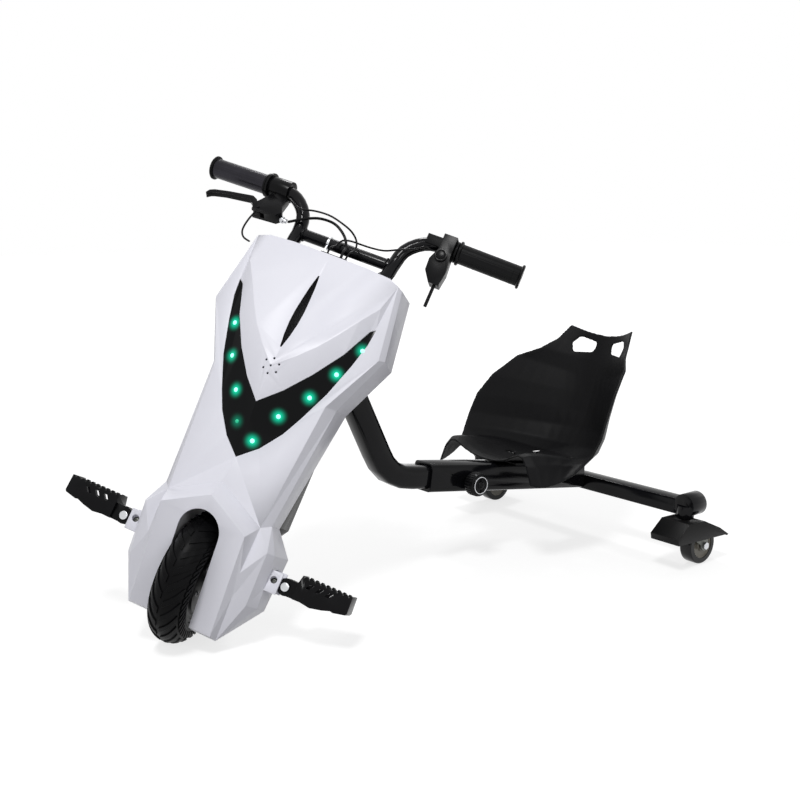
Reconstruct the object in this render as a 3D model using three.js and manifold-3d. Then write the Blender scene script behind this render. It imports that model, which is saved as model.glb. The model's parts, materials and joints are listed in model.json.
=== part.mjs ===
// Electric drift trike for children: a powered steered front wheel, a bent rail,
// a bucket seat and two swivelling rear casters. Millimetres, +Z up, the front looks to -Y.
// Steered pieces are drawn about the steering axis: X to the rider's left, -Y forward, Z along the axis.
import * as THREE from "three";
import { mergeVertices } from "three/addons/utils/BufferGeometryUtils.js";
import Module from "manifold-3d";

const wasm = await Module();
wasm.setup();

// Overall layout
const rake = 30.2;
const steeringTurn = 40.2;
const steeringGround = 901;
const casterTrack = 536;
const clearance = 0.3;
const finest = 0.03;
const overrun = 30;

// Front wheel
const wheelRadius = 104;
const tyreWidth = 58;
const crownRadius = 29;
const rimRadius = 66;
const forkOffset = 20;
const hubWidth = 46;
const hubCapRadius = 50;
const axleRadius = 6;
const treadGroove = 3;

// Fork and steering head
const legInset = 37;
const legThickness = 6;
const legWidth = 34;
const legTop = 232;
const crownThickness = 12;
const steererRadius = 14;
const headRadius = 22;
const headBottom = 492;
const headTop = 588;
const cupRadius = 25;
const cupHeight = 7;
const stemHeight = 34;
const stemWidth = 44;

// Handlebar
const barRadius = 11;
const crossbarRadius = 9.5;
const lowerBarHeight = 615;
const lowerBarForward = 30;
const uprightHalf = 82;
const crossbarHeight = 657;
const crossbarForward = 8;
const barEndHeight = 720;
const barEndBack = 18;
const barEndHalf = 268;

// Grips and controls
const gripRadius = 16;
const gripInner = 166;
const gripOuter = 272;
const gripFlange = 19;
const flangeWidth = 4;
const housingRadius = 17.5;
const housingInner = 125;
const housingOuter = 157;
const leverHalf = 155;
const leverForward = 16;
const leverHeight = 665;
const leverThickness = 9;
const leverTilt = 25;
const podInner = 140;
const podOuter = 162;
const buttonRadius = 7;
const buttonStroke = 3;
const cableRadius = 2.4;
const thinCableRadius = 1.7;

// Front fairing, wheel shroud and back cover: half widths, forward places and heights of their edges
const wall = 3;
const fairingTop = 627;
const fairingTopForward = 63;
const panelSlope = 0.211;
const topHalf = 118;
const topCornerHeight = 616;
const wideHalf = 146;
const wideHeight = 502;
const waistHalf = 108;
const waistHeight = 414;
const footHalf = 88;
const footHeight = 218;
const panelTip = 430;
const lensNotch = 374;
const lensTip = 290;
const lensTipForward = 77;
const archTip = 250;
const archTipForward = 88;
const archSideHalf = 76;
const archSideHeight = 210;
const archSideForward = 72;
const slotHalf = 32.5;
const slotTop = 203;
const shoulderHalf = 113;
const shoulderHeight = 181;
const cheekHalf = 112;
const cheekHeight = 100;
const toeHalf = 73;
const toeHeight = 36;
const toeForward = 37;
const coverTop = 470;
const coverBottom = 196;
const coverDepth = 40;
const portRadius = 9;
const lensThickness = 2.6;
const lensRecess = 0.6;
const lensFit = 0.2;
const lightGap = 1.2;
const lightDepth = 2;
const inlayHalf = 7.5;
const inlayBottom = 462;
const inlayTop = 587;
const inlayDepth = 1.4;
const speakerRadius = 20;
const speakerHoleRadius = 1.8;
const speakerRing = 12;
// Points between the named corners: shares of the top's half width and height
const creaseShares = [
  [0.9237, 0.9123],
  [0.7542, 0.8644],
  [0.5932, 0.815],
  [0.4237, 0.7687],
  [0.2373, 0.7289],
];
// The light's two edges: shares of the top's half width, the arch tip's forward place and the top's height
const lensTipShares = [0.9661, 0.7443, 0.8628];
const lensInnerShares = [
  [0.9068, 0.7614, 0.8549],
  [0.7373, 0.875, 0.7783],
  [0.5, 0.9886, 0.7049],
  [0.2542, 1.0568, 0.6443],
];
const lensOuterShares = [
  [0.9449, 0.7614, 0.8214],
  [0.8644, 0.7841, 0.7608],
  [0.7288, 0.8182, 0.6778],
  [0.5508, 0.8352, 0.5997],
  [0.4237, 0.8409, 0.5518],
  [0.2288, 0.858, 0.5008],
];
const battery = [124, 38, 108];
const batteryBottom = 262;
const controller = [88, 22, 66];
const controllerBottom = 388;

// Foot pegs
const pegPivotHalf = 136;
const pegPivotHeight = 146;
const pegPivotForward = 25;
const pegEndHalf = 236;
const pegTop = 172;
const pegDepth = 38;
const pegBoltRadius = 4;
const bracketInner = 106;
const bracketOuter = 127;
const bracketTop = 162;
const bracketBottom = 130;
const bracketDepth = 28;

// Rail and rear frame
const railSlope = 8.5;
const railHeight = 114;
const railLean = 25;
const railSide = 40;
const railWall = 2;
const railBend = 80;
const railEnd = 190;
const sleeveWall = 4.3;
const sleeveSlack = 0.7;
const sleeveSide = railSide + 2 * (sleeveWall + sleeveSlack);
const sleeveStart = 416;
const crossSide = 30;
const crossFront = 28;
const crossBottom = 89.5;
const housingReach = 19;
const crossHalf = casterTrack / 2 - housingReach;
const plateThickness = 4;
const knobRadius = 20;
const knobDrop = 7;
const knobPlace = 331;

// Casters
const casterRadius = 35;
const casterWidth = 24;
const casterTrail = 38;
const casterAxleBack = 5;
const bossRadius = 21;
const bossLength = 38;
const bossHeight = 113;
const stemRadius = 8;
const collarRadius = 15;
const fenderWidth = 60;
const bridgeGap = 11;
const bridgeThickness = 4;
const bridgeFront = 12;
const bridgeBack = 14;
const casterAxleRadius = 4;

// Seat
const seatWall = 4;
const seatGap = 0.6;
const ridgePower = 2.6;
const seatHalf = 172;
const seatDeckRow = 8;
// Row by row from the back's top to the front lip, as shares of the half width: the middle's place and
// height, above the deck from the deck row on, the edge's half width, place and height, the ridge's rise
const seatShares = [
  [0.3198, 2.2384, 0.4477, 0.2093, 2.343, 0],
  [0.2733, 2.1047, 0.5233, 0.0581, 2.186, 0],
  [0.2151, 1.9535, 0.6279, -0.1163, 2.0814, 0],
  [0.1512, 1.7674, 0.8023, -0.3198, 1.9942, 0],
  [0.0814, 1.5698, 0.9244, -0.6163, 1.7791, 0],
  [0.0058, 1.3837, 0.9884, -0.8023, 1.5581, 0],
  [-0.093, 1.1977, 1, -0.907, 1.3488, 0],
  [-0.2326, 1.0349, 0.9767, -1, 1.1977, 0.0174],
  [-0.4302, 0.0291, 0.9302, -1.093, 1.093, 0.0523],
  [-0.6977, 0, 0.8895, -1.1977, 1, 0.1047],
  [-0.9884, 0, 0.8605, -1.314, 0.9419, 0.1628],
  [-1.2791, 0, 0.8256, -1.4302, 0.9128, 0.2093],
  [-1.4651, 0, 0.7907, -1.5233, 0.9012, 0.2209],
  [-1.5581, -0.0174, 0.7093, -1.6047, 0.9186, 0.1977],
];
const seatPowers = [2, 2, 1.9, 1.8, 1.7, 1.7, 1.9, 2.2, 2.6, 3, 3.2, 3, 2.8, 2.6];
const handSlotShares = [
  [0.1337, 2.0465],
  [0.3488, 2.0349],
  [0.3779, 2.1337],
  [0.3198, 2.2035],
  [0.1163, 2.1453],
];
const seatBoltHalf = 42;
const seatBoltFronts = [95, 165];
const seatBoltRoom = [7, 22, 30];

const radians = THREE.MathUtils.degToRad;
const white = { color: 0xe6e6f0, roughness: 0.32, metalness: 0 };
const glossBlack = { color: 0x0c0c0e, roughness: 0.15, metalness: 0 };
const frameBlack = { color: 0x111113, roughness: 0.25, metalness: 0.2 };
const plasticBlack = { color: 0x1c1c1e, roughness: 0.6, metalness: 0 };
const rubberBlack = { color: 0x1a1a1b, roughness: 0.85, metalness: 0 };
const steel = { color: 0xb8bac0, roughness: 0.3, metalness: 1 };
const aluminium = { color: 0xc8cad0, roughness: 0.4, metalness: 1 };
const plateGrey = { color: 0x5a5a55, roughness: 0.5, metalness: 0.6 };
const lightGreen = { color: 0x00e6a0, roughness: 0.4, metalness: 0 };
const gripGrey = { color: 0x3c3c40, roughness: 0.35, metalness: 0.1 };
const wheelBeige = { color: 0x8a8378, roughness: 0.4, metalness: 0 };
const boxBlue = { color: 0x2c4a7a, roughness: 0.5, metalness: 0 };

// Closed meshes and the solids made from them
function solidOf(geometry) {
  const bare = geometry.clone();
  for (const name of Object.keys(bare.attributes)) {
    if (name !== "position") bare.deleteAttribute(name);
  }
  const merged = mergeVertices(bare, 1e-4);
  const mesh = new wasm.Mesh({
    numProp: 3,
    vertProperties: new Float32Array(merged.attributes.position.array),
    triVerts: new Uint32Array(merged.index.array),
  });
  return new wasm.Manifold(mesh);
}

// The biggest of the bodies that a cut left
function largest(solid) {
  const bodies = solid.decompose();
  return bodies.reduce((best, body) => (body.volume() > best.volume() ? body : best));
}

// The same solid with corners closer than the reach made one, so that no sliver is left
function welded(solid, reach) {
  const mesh = solid.getMesh();
  const corner = (i) => new THREE.Vector3().fromArray(mesh.vertProperties, i * mesh.numProp);
  const owner = Array.from({ length: mesh.vertProperties.length / mesh.numProp }, (_, i) => i);
  const find = (i) => (owner[i] === i ? i : find(owner[i]));
  const old = mesh.triVerts;
  for (let i = 0; i < old.length; i++) {
    const a = old[i];
    const b = old[i % 3 === 2 ? i - 2 : i + 1];
    if (corner(a).distanceTo(corner(b)) < reach) owner[find(b)] = find(a);
  }
  const triangles = [];
  for (let i = 0; i < old.length; i += 3) {
    const [a, b, c] = [find(old[i]), find(old[i + 1]), find(old[i + 2])];
    if (a !== b && b !== c && c !== a) triangles.push(a, b, c);
  }
  const geometry = new THREE.BufferGeometry();
  const places = owner.flatMap((_, i) => corner(i).toArray());
  geometry.setAttribute("position", new THREE.Float32BufferAttribute(places, 3));
  geometry.setIndex(triangles);
  return solidOf(geometry);
}

function geometryOf(solid) {
  const mesh = solid.getMesh();
  const geometry = new THREE.BufferGeometry();
  geometry.setAttribute("position", new THREE.BufferAttribute(new Float32Array(mesh.vertProperties), 3));
  geometry.setIndex(new THREE.BufferAttribute(new Uint32Array(mesh.triVerts), 1));
  geometry.computeVertexNormals();
  return geometry;
}

function joined(solids) {
  return solids.reduce((whole, solid) => whole.add(solid));
}

function block(size, centre) {
  return solidOf(new THREE.BoxGeometry(...size).translate(...centre));
}

// A box from its lowest to its highest corner
function span(low, high) {
  const size = high.map((value, i) => value - low[i]);
  const centre = high.map((value, i) => (value + low[i]) / 2);
  return block(size, centre);
}

function turnTo(geometry, axis) {
  if (axis === "x") geometry.rotateZ(-Math.PI / 2);
  if (axis === "z") geometry.rotateX(Math.PI / 2);
  return geometry;
}

function rod(radius, length, axis, centre, sides = 24) {
  const geometry = turnTo(new THREE.CylinderGeometry(radius, radius, length, sides), axis);
  return solidOf(geometry.translate(...centre));
}

// A profile of radius and place along the axis, spun about it
function spun(profile, axis, centre, sides) {
  const points = profile.map(([radius, place]) => new THREE.Vector2(radius, place));
  const geometry = turnTo(new THREE.LatheGeometry(points, sides), axis);
  return facingOut(solidOf(geometry.translate(...centre)), geometry);
}

function facingOut(solid, geometry) {
  if (solid.volume() > 0) return solid;
  const turned = geometry.clone();
  const index = turned.index.array;
  for (let i = 0; i < index.length; i += 3) {
    const kept = index[i];
    index[i] = index[i + 1];
    index[i + 1] = kept;
  }
  return solidOf(turned);
}

// An outline pushed both ways from its plane: "yz" along X, "xz" along Y, "xy" along Z
function slab(outline, depth, plane, centre) {
  const shape = new THREE.Shape(outline.map(([a, b]) => new THREE.Vector2(a, b)));
  const geometry = new THREE.ExtrudeGeometry(shape, { depth, bevelEnabled: false, curveSegments: 12 });
  geometry.translate(0, 0, -depth / 2);
  if (plane === "xz") geometry.rotateX(Math.PI / 2);
  if (plane === "yz") {
    geometry.rotateX(Math.PI / 2);
    geometry.rotateZ(Math.PI / 2);
  }
  return solidOf(geometry.translate(...centre));
}

function arc(centre, radius, from, to, steps) {
  return Array.from({ length: steps + 1 }, (_, i) => {
    const angle = radians(from + ((to - from) * i) / steps);
    return [centre[0] + radius * Math.cos(angle), centre[1] + radius * Math.sin(angle)];
  });
}

function circle(radius, sides) {
  return arc([0, 0], radius, 0, 360 - 360 / sides, sides - 1);
}

function roundedSquare(side, radius) {
  const inner = side / 2 - radius;
  return [
    ...arc([inner, inner], radius, 0, 90, 2),
    ...arc([-inner, inner], radius, 90, 180, 2),
    ...arc([-inner, -inner], radius, 180, 270, 2),
    ...arc([inner, -inner], radius, 270, 360, 2),
  ];
}

// A section pushed along a curve
function swept(section, curve, steps) {
  const shape = new THREE.Shape(section.map(([a, b]) => new THREE.Vector2(a, b)));
  return solidOf(new THREE.ExtrudeGeometry(shape, { steps, bevelEnabled: false, extrudePath: curve }));
}

function pipe(points, radius, sides, steps) {
  const curve = new THREE.CatmullRomCurve3(points.map((point) => new THREE.Vector3(...point)), false, "centripetal");
  return swept(circle(radius, sides), curve, steps);
}

// Corners joined by straight runs and round bends
function bentPath(corners, bend) {
  const path = new THREE.CurvePath();
  let start = corners[0];
  for (let i = 1; i < corners.length - 1; i++) {
    const before = corners[i - 1].clone().sub(corners[i]).normalize();
    const after = corners[i + 1].clone().sub(corners[i]).normalize();
    const cut = bend / Math.tan(before.angleTo(after) / 2);
    const enter = corners[i].clone().addScaledVector(before, cut);
    const leave = corners[i].clone().addScaledVector(after, cut);
    path.add(new THREE.LineCurve3(start, enter));
    path.add(new THREE.QuadraticBezierCurve3(enter, corners[i], leave));
    start = leave;
  }
  path.add(new THREE.LineCurve3(start, corners[corners.length - 1]));
  return path;
}

// Triangles between two rows of points, walked together from end to end
function zip(triangles, first, second) {
  let i = 0;
  let j = 0;
  while (i < first.length - 1 || j < second.length - 1) {
    const nextFirst = (i + 1) / (first.length - 1 || 1);
    const nextSecond = (j + 1) / (second.length - 1 || 1);
    const advance = j === second.length - 1 || (i < first.length - 1 && nextFirst <= nextSecond);
    if (advance) {
      triangles.push([first[i], second[j], first[i + 1]]);
      i += 1;
    } else {
      triangles.push([first[i], second[j], second[j + 1]]);
      j += 1;
    }
  }
}

function mirrored(row) {
  return row.map(([x, y, z]) => [-x, y, z]);
}

// A band between two rows on the right half, and its mirror image on the left
function bothSides(triangles, first, second) {
  zip(triangles, first, second);
  zip(triangles, mirrored(second), mirrored(first));
}

function distinct(a, b) {
  return Math.hypot(a[0] - b[0], a[1] - b[1], a[2] - b[2]) > 1e-3;
}

function closedSolid(triangles) {
  const kept = triangles.filter(([a, b, c]) => distinct(a, b) && distinct(b, c) && distinct(c, a));
  const geometry = new THREE.BufferGeometry();
  geometry.setAttribute("position", new THREE.Float32BufferAttribute(kept.flat(2), 3));
  const solid = solidOf(geometry);
  if (solid.volume() > 0) return solid;
  const turned = kept.map(([a, b, c]) => [a, c, b]);
  geometry.setAttribute("position", new THREE.Float32BufferAttribute(turned.flat(2), 3));
  return solidOf(geometry);
}

// Scene groups: everything, and what turns with the handlebar
const trike = new THREE.Group();
const headAngle = new THREE.Group();
headAngle.position.set(0, -steeringGround, 0);
headAngle.rotation.x = -radians(rake);
const steered = new THREE.Group();
steered.rotation.z = radians(steeringTurn);
headAngle.add(steered);
trike.add(headAngle);

function add(group, name, solid, look) {
  const geometry = geometryOf(welded(solid.simplify(finest), finest * 3));
  const mesh = new THREE.Mesh(geometry, new THREE.MeshStandardMaterial({ ...look, flatShading: true }));
  mesh.name = name;
  group.add(mesh);
  return mesh;
}

// The axle height that sets the turned and raked tyre on the ground
function axleHeight() {
  const tilt = Math.sin(radians(rake)) * Math.sin(radians(steeringTurn));
  const drop = (wheelRadius - crownRadius) * Math.sqrt(1 - tilt * tilt) + crownRadius;
  const forwardRise = forkOffset * Math.sin(radians(rake)) * Math.cos(radians(steeringTurn));
  return (drop - forwardRise) / Math.cos(radians(rake));
}

const axle = [0, -forkOffset, axleHeight()];
const axleTop = axle[2];

function frontTyre() {
  const core = wheelRadius - crownRadius;
  const grooveShares = [-0.42, 0, 0.42];
  const crown = arc([core, 0], crownRadius, -78, 78, 8);
  const profile = [[rimRadius, -tyreWidth * 0.36], ...crown, [rimRadius, tyreWidth * 0.36], [rimRadius, -tyreWidth * 0.36]];
  let tyre = spun(profile, "x", axle, 48);
  for (const share of grooveShares) {
    const groove = rod(wheelRadius + overrun, treadGroove, "x", [share * crownRadius, axle[1], axle[2]], 48);
    const floor = Math.sqrt(1 - share * share) * crownRadius + core - treadGroove;
    const inside = rod(floor, treadGroove * 2, "x", [share * crownRadius, axle[1], axle[2]], 48);
    tyre = tyre.subtract(groove.subtract(inside));
  }
  return tyre;
}

function hubMotor() {
  const rim = rimRadius - clearance;
  const half = hubWidth / 2;
  const boss = axleRadius * 2.4;
  const profile = [
    [0, -half - wall],
    [boss, -half - wall],
    [boss, -half],
    [hubCapRadius, -half],
    [hubCapRadius + wall, -half + wall],
    [rim, -half + wall],
    [rim, half - wall],
    [hubCapRadius + wall, half - wall],
    [hubCapRadius, half],
    [boss, half],
    [boss, half + wall],
    [0, half + wall],
  ];
  const hub = spun(profile, "x", axle, 40);
  return hub.subtract(rod(axleRadius + clearance, tyreWidth * 2, "x", axle, 20));
}

function frontWheel() {
  add(steered, "tyre", frontTyre(), rubberBlack);
  add(steered, "hub_motor", hubMotor(), aluminium);
  const shaftHalf = legInset + legThickness + axleRadius * 2.2;
  const shaft = rod(axleRadius, shaftHalf * 2, "x", axle, 20);
  const nuts = [-1, 1].map((side) => {
    const centre = side * (legInset + legThickness + clearance + axleRadius / 2);
    return rod(axleRadius * 1.9, axleRadius, "x", [centre, axle[1], axle[2]], 6);
  });
  add(steered, "front_axle", joined([shaft, ...nuts]), steel);
}

function fork() {
  const legCentre = legInset + legThickness / 2;
  for (const [side, name] of [[1, "left"], [-1, "right"]]) {
    const outline = [
      [axle[1] - legWidth / 2, axleTop],
      ...arc([axle[1], axleTop], legWidth / 2, 180, 360, 8),
      [axle[1] + legWidth / 2, axleTop + legWidth],
      [legWidth / 2, legTop - legWidth],
      [legWidth / 2, legTop],
      [-legWidth / 2, legTop],
      [axle[1] - legWidth / 2, axleTop + legWidth],
    ];
    const leg = slab(outline, legThickness, "yz", [side * legCentre, 0, 0]);
    const bore = rod(axleRadius + clearance, legThickness * 2, "x", [side * legCentre, axle[1], axleTop], 20);
    add(steered, "fork_leg_" + name, leg.subtract(bore), frameBlack);
  }
  const crownHalf = legInset + legThickness;
  const crownBottom = legTop + clearance;
  const crownSolid = span(
    [-crownHalf, -legWidth / 2, crownBottom],
    [crownHalf, legWidth / 2, crownBottom + crownThickness],
  );
  add(steered, "fork_crown", crownSolid, frameBlack);
  const steererBottom = crownBottom + crownThickness + clearance;
  const steererTop = lowerBarHeight + stemHeight / 2;
  const tube = rod(steererRadius, steererTop - steererBottom, "z", [0, 0, (steererTop + steererBottom) / 2], 24);
  add(steered, "steerer_tube", tube, frameBlack);
}

function barPath() {
  const half = [
    [barEndHalf, barEndBack, barEndHeight],
    [gripInner, barEndBack * 0.45, barEndHeight - barRadius * 0.09],
    [gripInner - barRadius * 1.6, barEndBack * 0.3, barEndHeight],
    [uprightHalf + barRadius * 2.9, 0, barEndHeight - barRadius * 0.7],
    [uprightHalf + barRadius * 0.6, -crossbarForward / 2, barEndHeight - barRadius * 2.9],
    [uprightHalf, -crossbarForward, crossbarHeight],
    [uprightHalf - barRadius * 0.2, -lowerBarForward * 0.6, crossbarHeight - barRadius * 2.2],
    [uprightHalf - barRadius * 1.9, -lowerBarForward * 0.95, lowerBarHeight + barRadius * 0.2],
    [stemWidth / 2 + barRadius, -lowerBarForward, lowerBarHeight],
    [0, -lowerBarForward, lowerBarHeight],
  ];
  const other = half.slice(0, -1).map(([x, y, z]) => [-x, y, z]);
  return [...half, ...other.reverse()];
}

function handlebar() {
  const bar = pipe(barPath(), barRadius, 12, 60);
  add(steered, "handlebar", bar, frameBlack);
  const reach = uprightHalf + barRadius;
  const brace = rod(crossbarRadius, reach * 2, "x", [0, -crossbarForward, crossbarHeight], 16);
  const notch = pipe(barPath(), barRadius + clearance, 12, 60);
  const middle = span(
    [-uprightHalf, -barRadius * 3, crossbarHeight - barRadius * 2],
    [uprightHalf, barRadius * 3, crossbarHeight + barRadius * 2],
  );
  add(steered, "crossbar", brace.subtract(notch).intersect(middle), frameBlack);
  const stemBottom = lowerBarHeight - stemHeight / 2;
  const body = span(
    [-stemWidth / 2, -lowerBarForward - barRadius * 1.6, stemBottom],
    [stemWidth / 2, steererRadius + wall * 2, stemBottom + stemHeight],
  );
  const bore = rod(steererRadius + clearance, stemHeight * 2, "z", [0, 0, lowerBarHeight], 24);
  add(steered, "stem_clamp", body.subtract(bore).subtract(notch), frameBlack);
}

// Direction of each handlebar end, from its grip's inner end outwards
function gripAxis(side) {
  const inner = new THREE.Vector3(side * gripInner, barEndBack * 0.45, barEndHeight - barRadius * 0.09);
  const outer = new THREE.Vector3(side * barEndHalf, barEndBack, barEndHeight);
  return { inner, along: outer.sub(inner).normalize() };
}

// A spun profile of radius and distance along a handlebar end, with a bore for the bar
function sleeveOnBar(profile, side, sides) {
  const { inner, along } = gripAxis(side);
  const points = profile.map(([radius, place]) => new THREE.Vector2(radius, place));
  const geometry = new THREE.LatheGeometry(points, sides);
  const turn = new THREE.Quaternion().setFromUnitVectors(new THREE.Vector3(0, 1, 0), along);
  geometry.applyQuaternion(turn);
  geometry.translate(inner.x, inner.y, inner.z);
  return facingOut(solidOf(geometry), geometry);
}

function gripSolid(side) {
  const length = gripOuter - gripInner;
  const inside = barRadius + clearance * 2;
  const barTip = barEndHalf - gripInner + clearance * 4;
  const profile = [
    [inside, 0],
    [gripFlange, 0],
    [gripFlange, flangeWidth],
    [gripRadius, flangeWidth],
    [gripRadius, length - flangeWidth],
    [gripFlange, length - flangeWidth],
    [gripFlange, length],
    [0, length],
    [0, barTip],
    [inside, barTip],
    [inside, 0],
  ];
  return sleeveOnBar(profile, side, 28);
}

function ringOnBar(side, from, to, radius, sides) {
  const profile = [[0, from], [radius, from], [radius, to], [0, to]];
  const body = sleeveOnBar(profile, side, sides);
  const hole = pipe(barPath(), barRadius + clearance * 2, 12, 60);
  return body.subtract(hole);
}

function grips() {
  add(steered, "throttle_grip", gripSolid(-1), gripGrey);
  add(steered, "left_grip", gripSolid(1), rubberBlack);
  const from = housingInner - gripInner;
  const to = -clearance * 4.33;
  const housing = ringOnBar(-1, from, to, housingRadius, 28);
  add(steered, "throttle_housing", housing, plasticBlack);
}

// The lever's plane holds the bar and the lever: its pin stands square to that plane
function leverPlace(solid) {
  const centre = [-leverHalf, -leverForward, leverHeight];
  return solid.rotate([-leverTilt, 0, 0]).translate(centre);
}

function bladeOutline() {
  const reach = gripOuter - leverHalf - leverThickness * 3.6;
  return [
    [leverThickness * 0.7, -leverThickness * 0.8],
    [leverThickness * 0.9, leverThickness * 0.4],
    [-leverThickness * 0.6, leverThickness],
    [-leverThickness * 1.5, leverThickness * 2.2],
    [-leverThickness * 2.5, leverThickness * 2.7],
    [-reach * 0.75, leverThickness * 1.7],
    [-reach, leverThickness * 1],
    [-reach - leverThickness * 0.8, leverThickness * 0.5],
    [-reach - leverThickness * 1.1, -leverThickness * 0.3],
    [-reach - leverThickness * 0.8, -leverThickness * 0.7],
    [-reach - leverThickness * 0.2, -leverThickness * 0.1],
    [-reach + leverThickness * 0.4, leverThickness * 0.2],
    [-reach * 0.75, leverThickness * 0.8],
    [-leverThickness * 2.5, leverThickness * 1.6],
    [-leverThickness * 1.7, leverThickness * 0.9],
    [-leverThickness * 0.7, -leverThickness * 0.7],
  ];
}

function brake() {
  const bolt = rod(leverThickness * 0.3 + clearance, leverThickness * 4, "y", [0, 0, 0], 12);
  const blade = slab(bladeOutline(), leverThickness, "xz", [0, 0, 0]).subtract(bolt);
  add(steered, "brake_lever", leverPlace(blade), plasticBlack);

  const cheekHeightHere = leverThickness * 1.3;
  const cheekOutline = [
    [-leverThickness * 0.9, -leverThickness * 0.8],
    [leverThickness * 3.6, -leverThickness * 0.4],
    [leverThickness * 4.4, leverThickness * 0.6],
    [leverThickness * 3.4, leverThickness * 2.6],
    [leverThickness * 0.6, leverThickness * 4.2],
    [-leverThickness * 0.4, leverThickness * 2],
    [-leverThickness, leverThickness * 0.9],
  ];
  const body = slab(cheekOutline, leverThickness + cheekHeightHere, "xz", [0, 0, 0]);
  const reach = gripOuter - leverHalf;
  const mouth = span(
    [-reach, -leverThickness / 2 - clearance * 2, -leverThickness * 3],
    [leverThickness * 1.4, leverThickness / 2 + clearance * 2, leverThickness * 6],
  );
  const pin = rod(leverThickness * 0.3, leverThickness + cheekHeightHere + wall, "y", [0, 0, 0], 12);
  const perch = leverPlace(body.subtract(mouth).add(pin));
  const neckTop = new THREE.Vector3(-leverHalf + leverThickness * 2.4, 0, barEndHeight - housingRadius);
  const neck = solidOf(
    new THREE.BoxGeometry(leverThickness * 2.4, leverThickness * 1.8, housingRadius * 2.1)
      .rotateX(radians(-leverTilt))
      .translate(neckTop.x, -leverForward * 0.45, neckTop.z - housingRadius * 0.9),
  );
  const around = ringOnBar(-1, housingInner - gripInner - wall, 0, housingRadius + clearance, 28);
  const bar = pipe(barPath(), barRadius + clearance * 2, 12, 60);
  const sweepRoom = leverPlace(
    span(
      [-reach, -leverThickness / 2 - clearance * 2, -leverThickness * 1.6],
      [leverThickness * 1.2, leverThickness / 2 + clearance * 2, leverThickness * 3.4],
    ),
  );
  const whole = perch.add(neck.subtract(around).subtract(bar).subtract(sweepRoom));
  add(steered, "brake_bracket", whole, plasticBlack);

  const start = leverThickness * 4.3 + clearance;
  const adjuster = joined([
    rod(leverThickness * 0.42, leverThickness * 1.3, "x", [start + leverThickness * 0.65, 0, 0], 12),
    rod(leverThickness * 0.62, leverThickness * 0.5, "x", [start + leverThickness * 0.45, 0, 0], 10),
  ]);
  const seatCut = leverPlace(slab(cheekOutline, leverThickness * 3, "xz", [0, 0, 0]));
  add(steered, "barrel_adjuster", leverPlace(adjuster).subtract(seatCut), steel);
}

function pod() {
  const around = pipe(barPath(), barRadius + clearance * 2, 12, 60);
  const low = podInner - barRadius * 2.3;
  const upper = span(
    [podInner, -housingRadius, barEndHeight - housingRadius * 0.9],
    [podOuter, housingRadius, barEndHeight + housingRadius * 0.8],
  );
  const shelf = span(
    [low, -housingRadius * 0.7, barEndHeight - barRadius * 0.7],
    [podInner + wall, housingRadius * 0.7, barEndHeight + barRadius * 0.7],
  );
  const pearOutline = [
    [podInner, barEndHeight - housingRadius * 0.7],
    [podInner - barRadius * 0.7, barEndHeight - housingRadius * 1.8],
    [podInner - barRadius * 0.6, barEndHeight - housingRadius * 2.9],
    [podInner + barRadius * 0.5, barEndHeight - housingRadius * 3.9],
    [podOuter, barEndHeight - housingRadius * 3.9],
    [podOuter + wall, barEndHeight - housingRadius * 2.6],
    [podOuter, barEndHeight - housingRadius * 0.7],
  ];
  const pear = slab(pearOutline, housingRadius * 1.3, "xz", [0, -housingRadius * 0.35, 0]);
  const buttonPlace = [podInner + barRadius * 0.7, -housingRadius, barEndHeight - housingRadius * 1.25];
  const well = rod(buttonRadius + clearance * 2, buttonStroke * 4, "y", buttonPlace, 20);
  const face = rod(buttonRadius + wall, housingRadius, "y", [buttonPlace[0], -housingRadius / 2 - wall, buttonPlace[2]], 24);
  const stalkTop = barEndHeight - housingRadius * 3.9;
  const stalkCentre = (podInner + podOuter) / 2 + wall;
  const socket = rod(barRadius * 0.46, barRadius, "z", [stalkCentre, -housingRadius * 0.35, stalkTop], 12);
  const body = joined([upper, shelf, pear, face]).subtract(well).subtract(around).subtract(socket);
  add(steered, "control_pod", body, plasticBlack);

  const proud = buttonStroke + wall / 2;
  const buttonCentre = buttonPlace[1] + buttonStroke * 2 - clearance;
  const backFace = buttonCentre - buttonStroke - wall;
  const button = rod(buttonRadius, proud + wall, "y", [buttonPlace[0], backFace, buttonPlace[2]], 20);
  add(steered, "horn_button", button, plasticBlack);
  const stalkLength = housingRadius * 2.2;
  const stalk = joined([
    rod(barRadius * 0.25, stalkLength, "z", [stalkCentre, -housingRadius * 0.35, stalkTop - stalkLength / 2 + wall], 10),
    rod(barRadius * 0.4, wall, "z", [stalkCentre, -housingRadius * 0.35, stalkTop + wall / 2], 10),
  ]);
  add(steered, "stalk_lever", stalk, plasticBlack);
}

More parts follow.
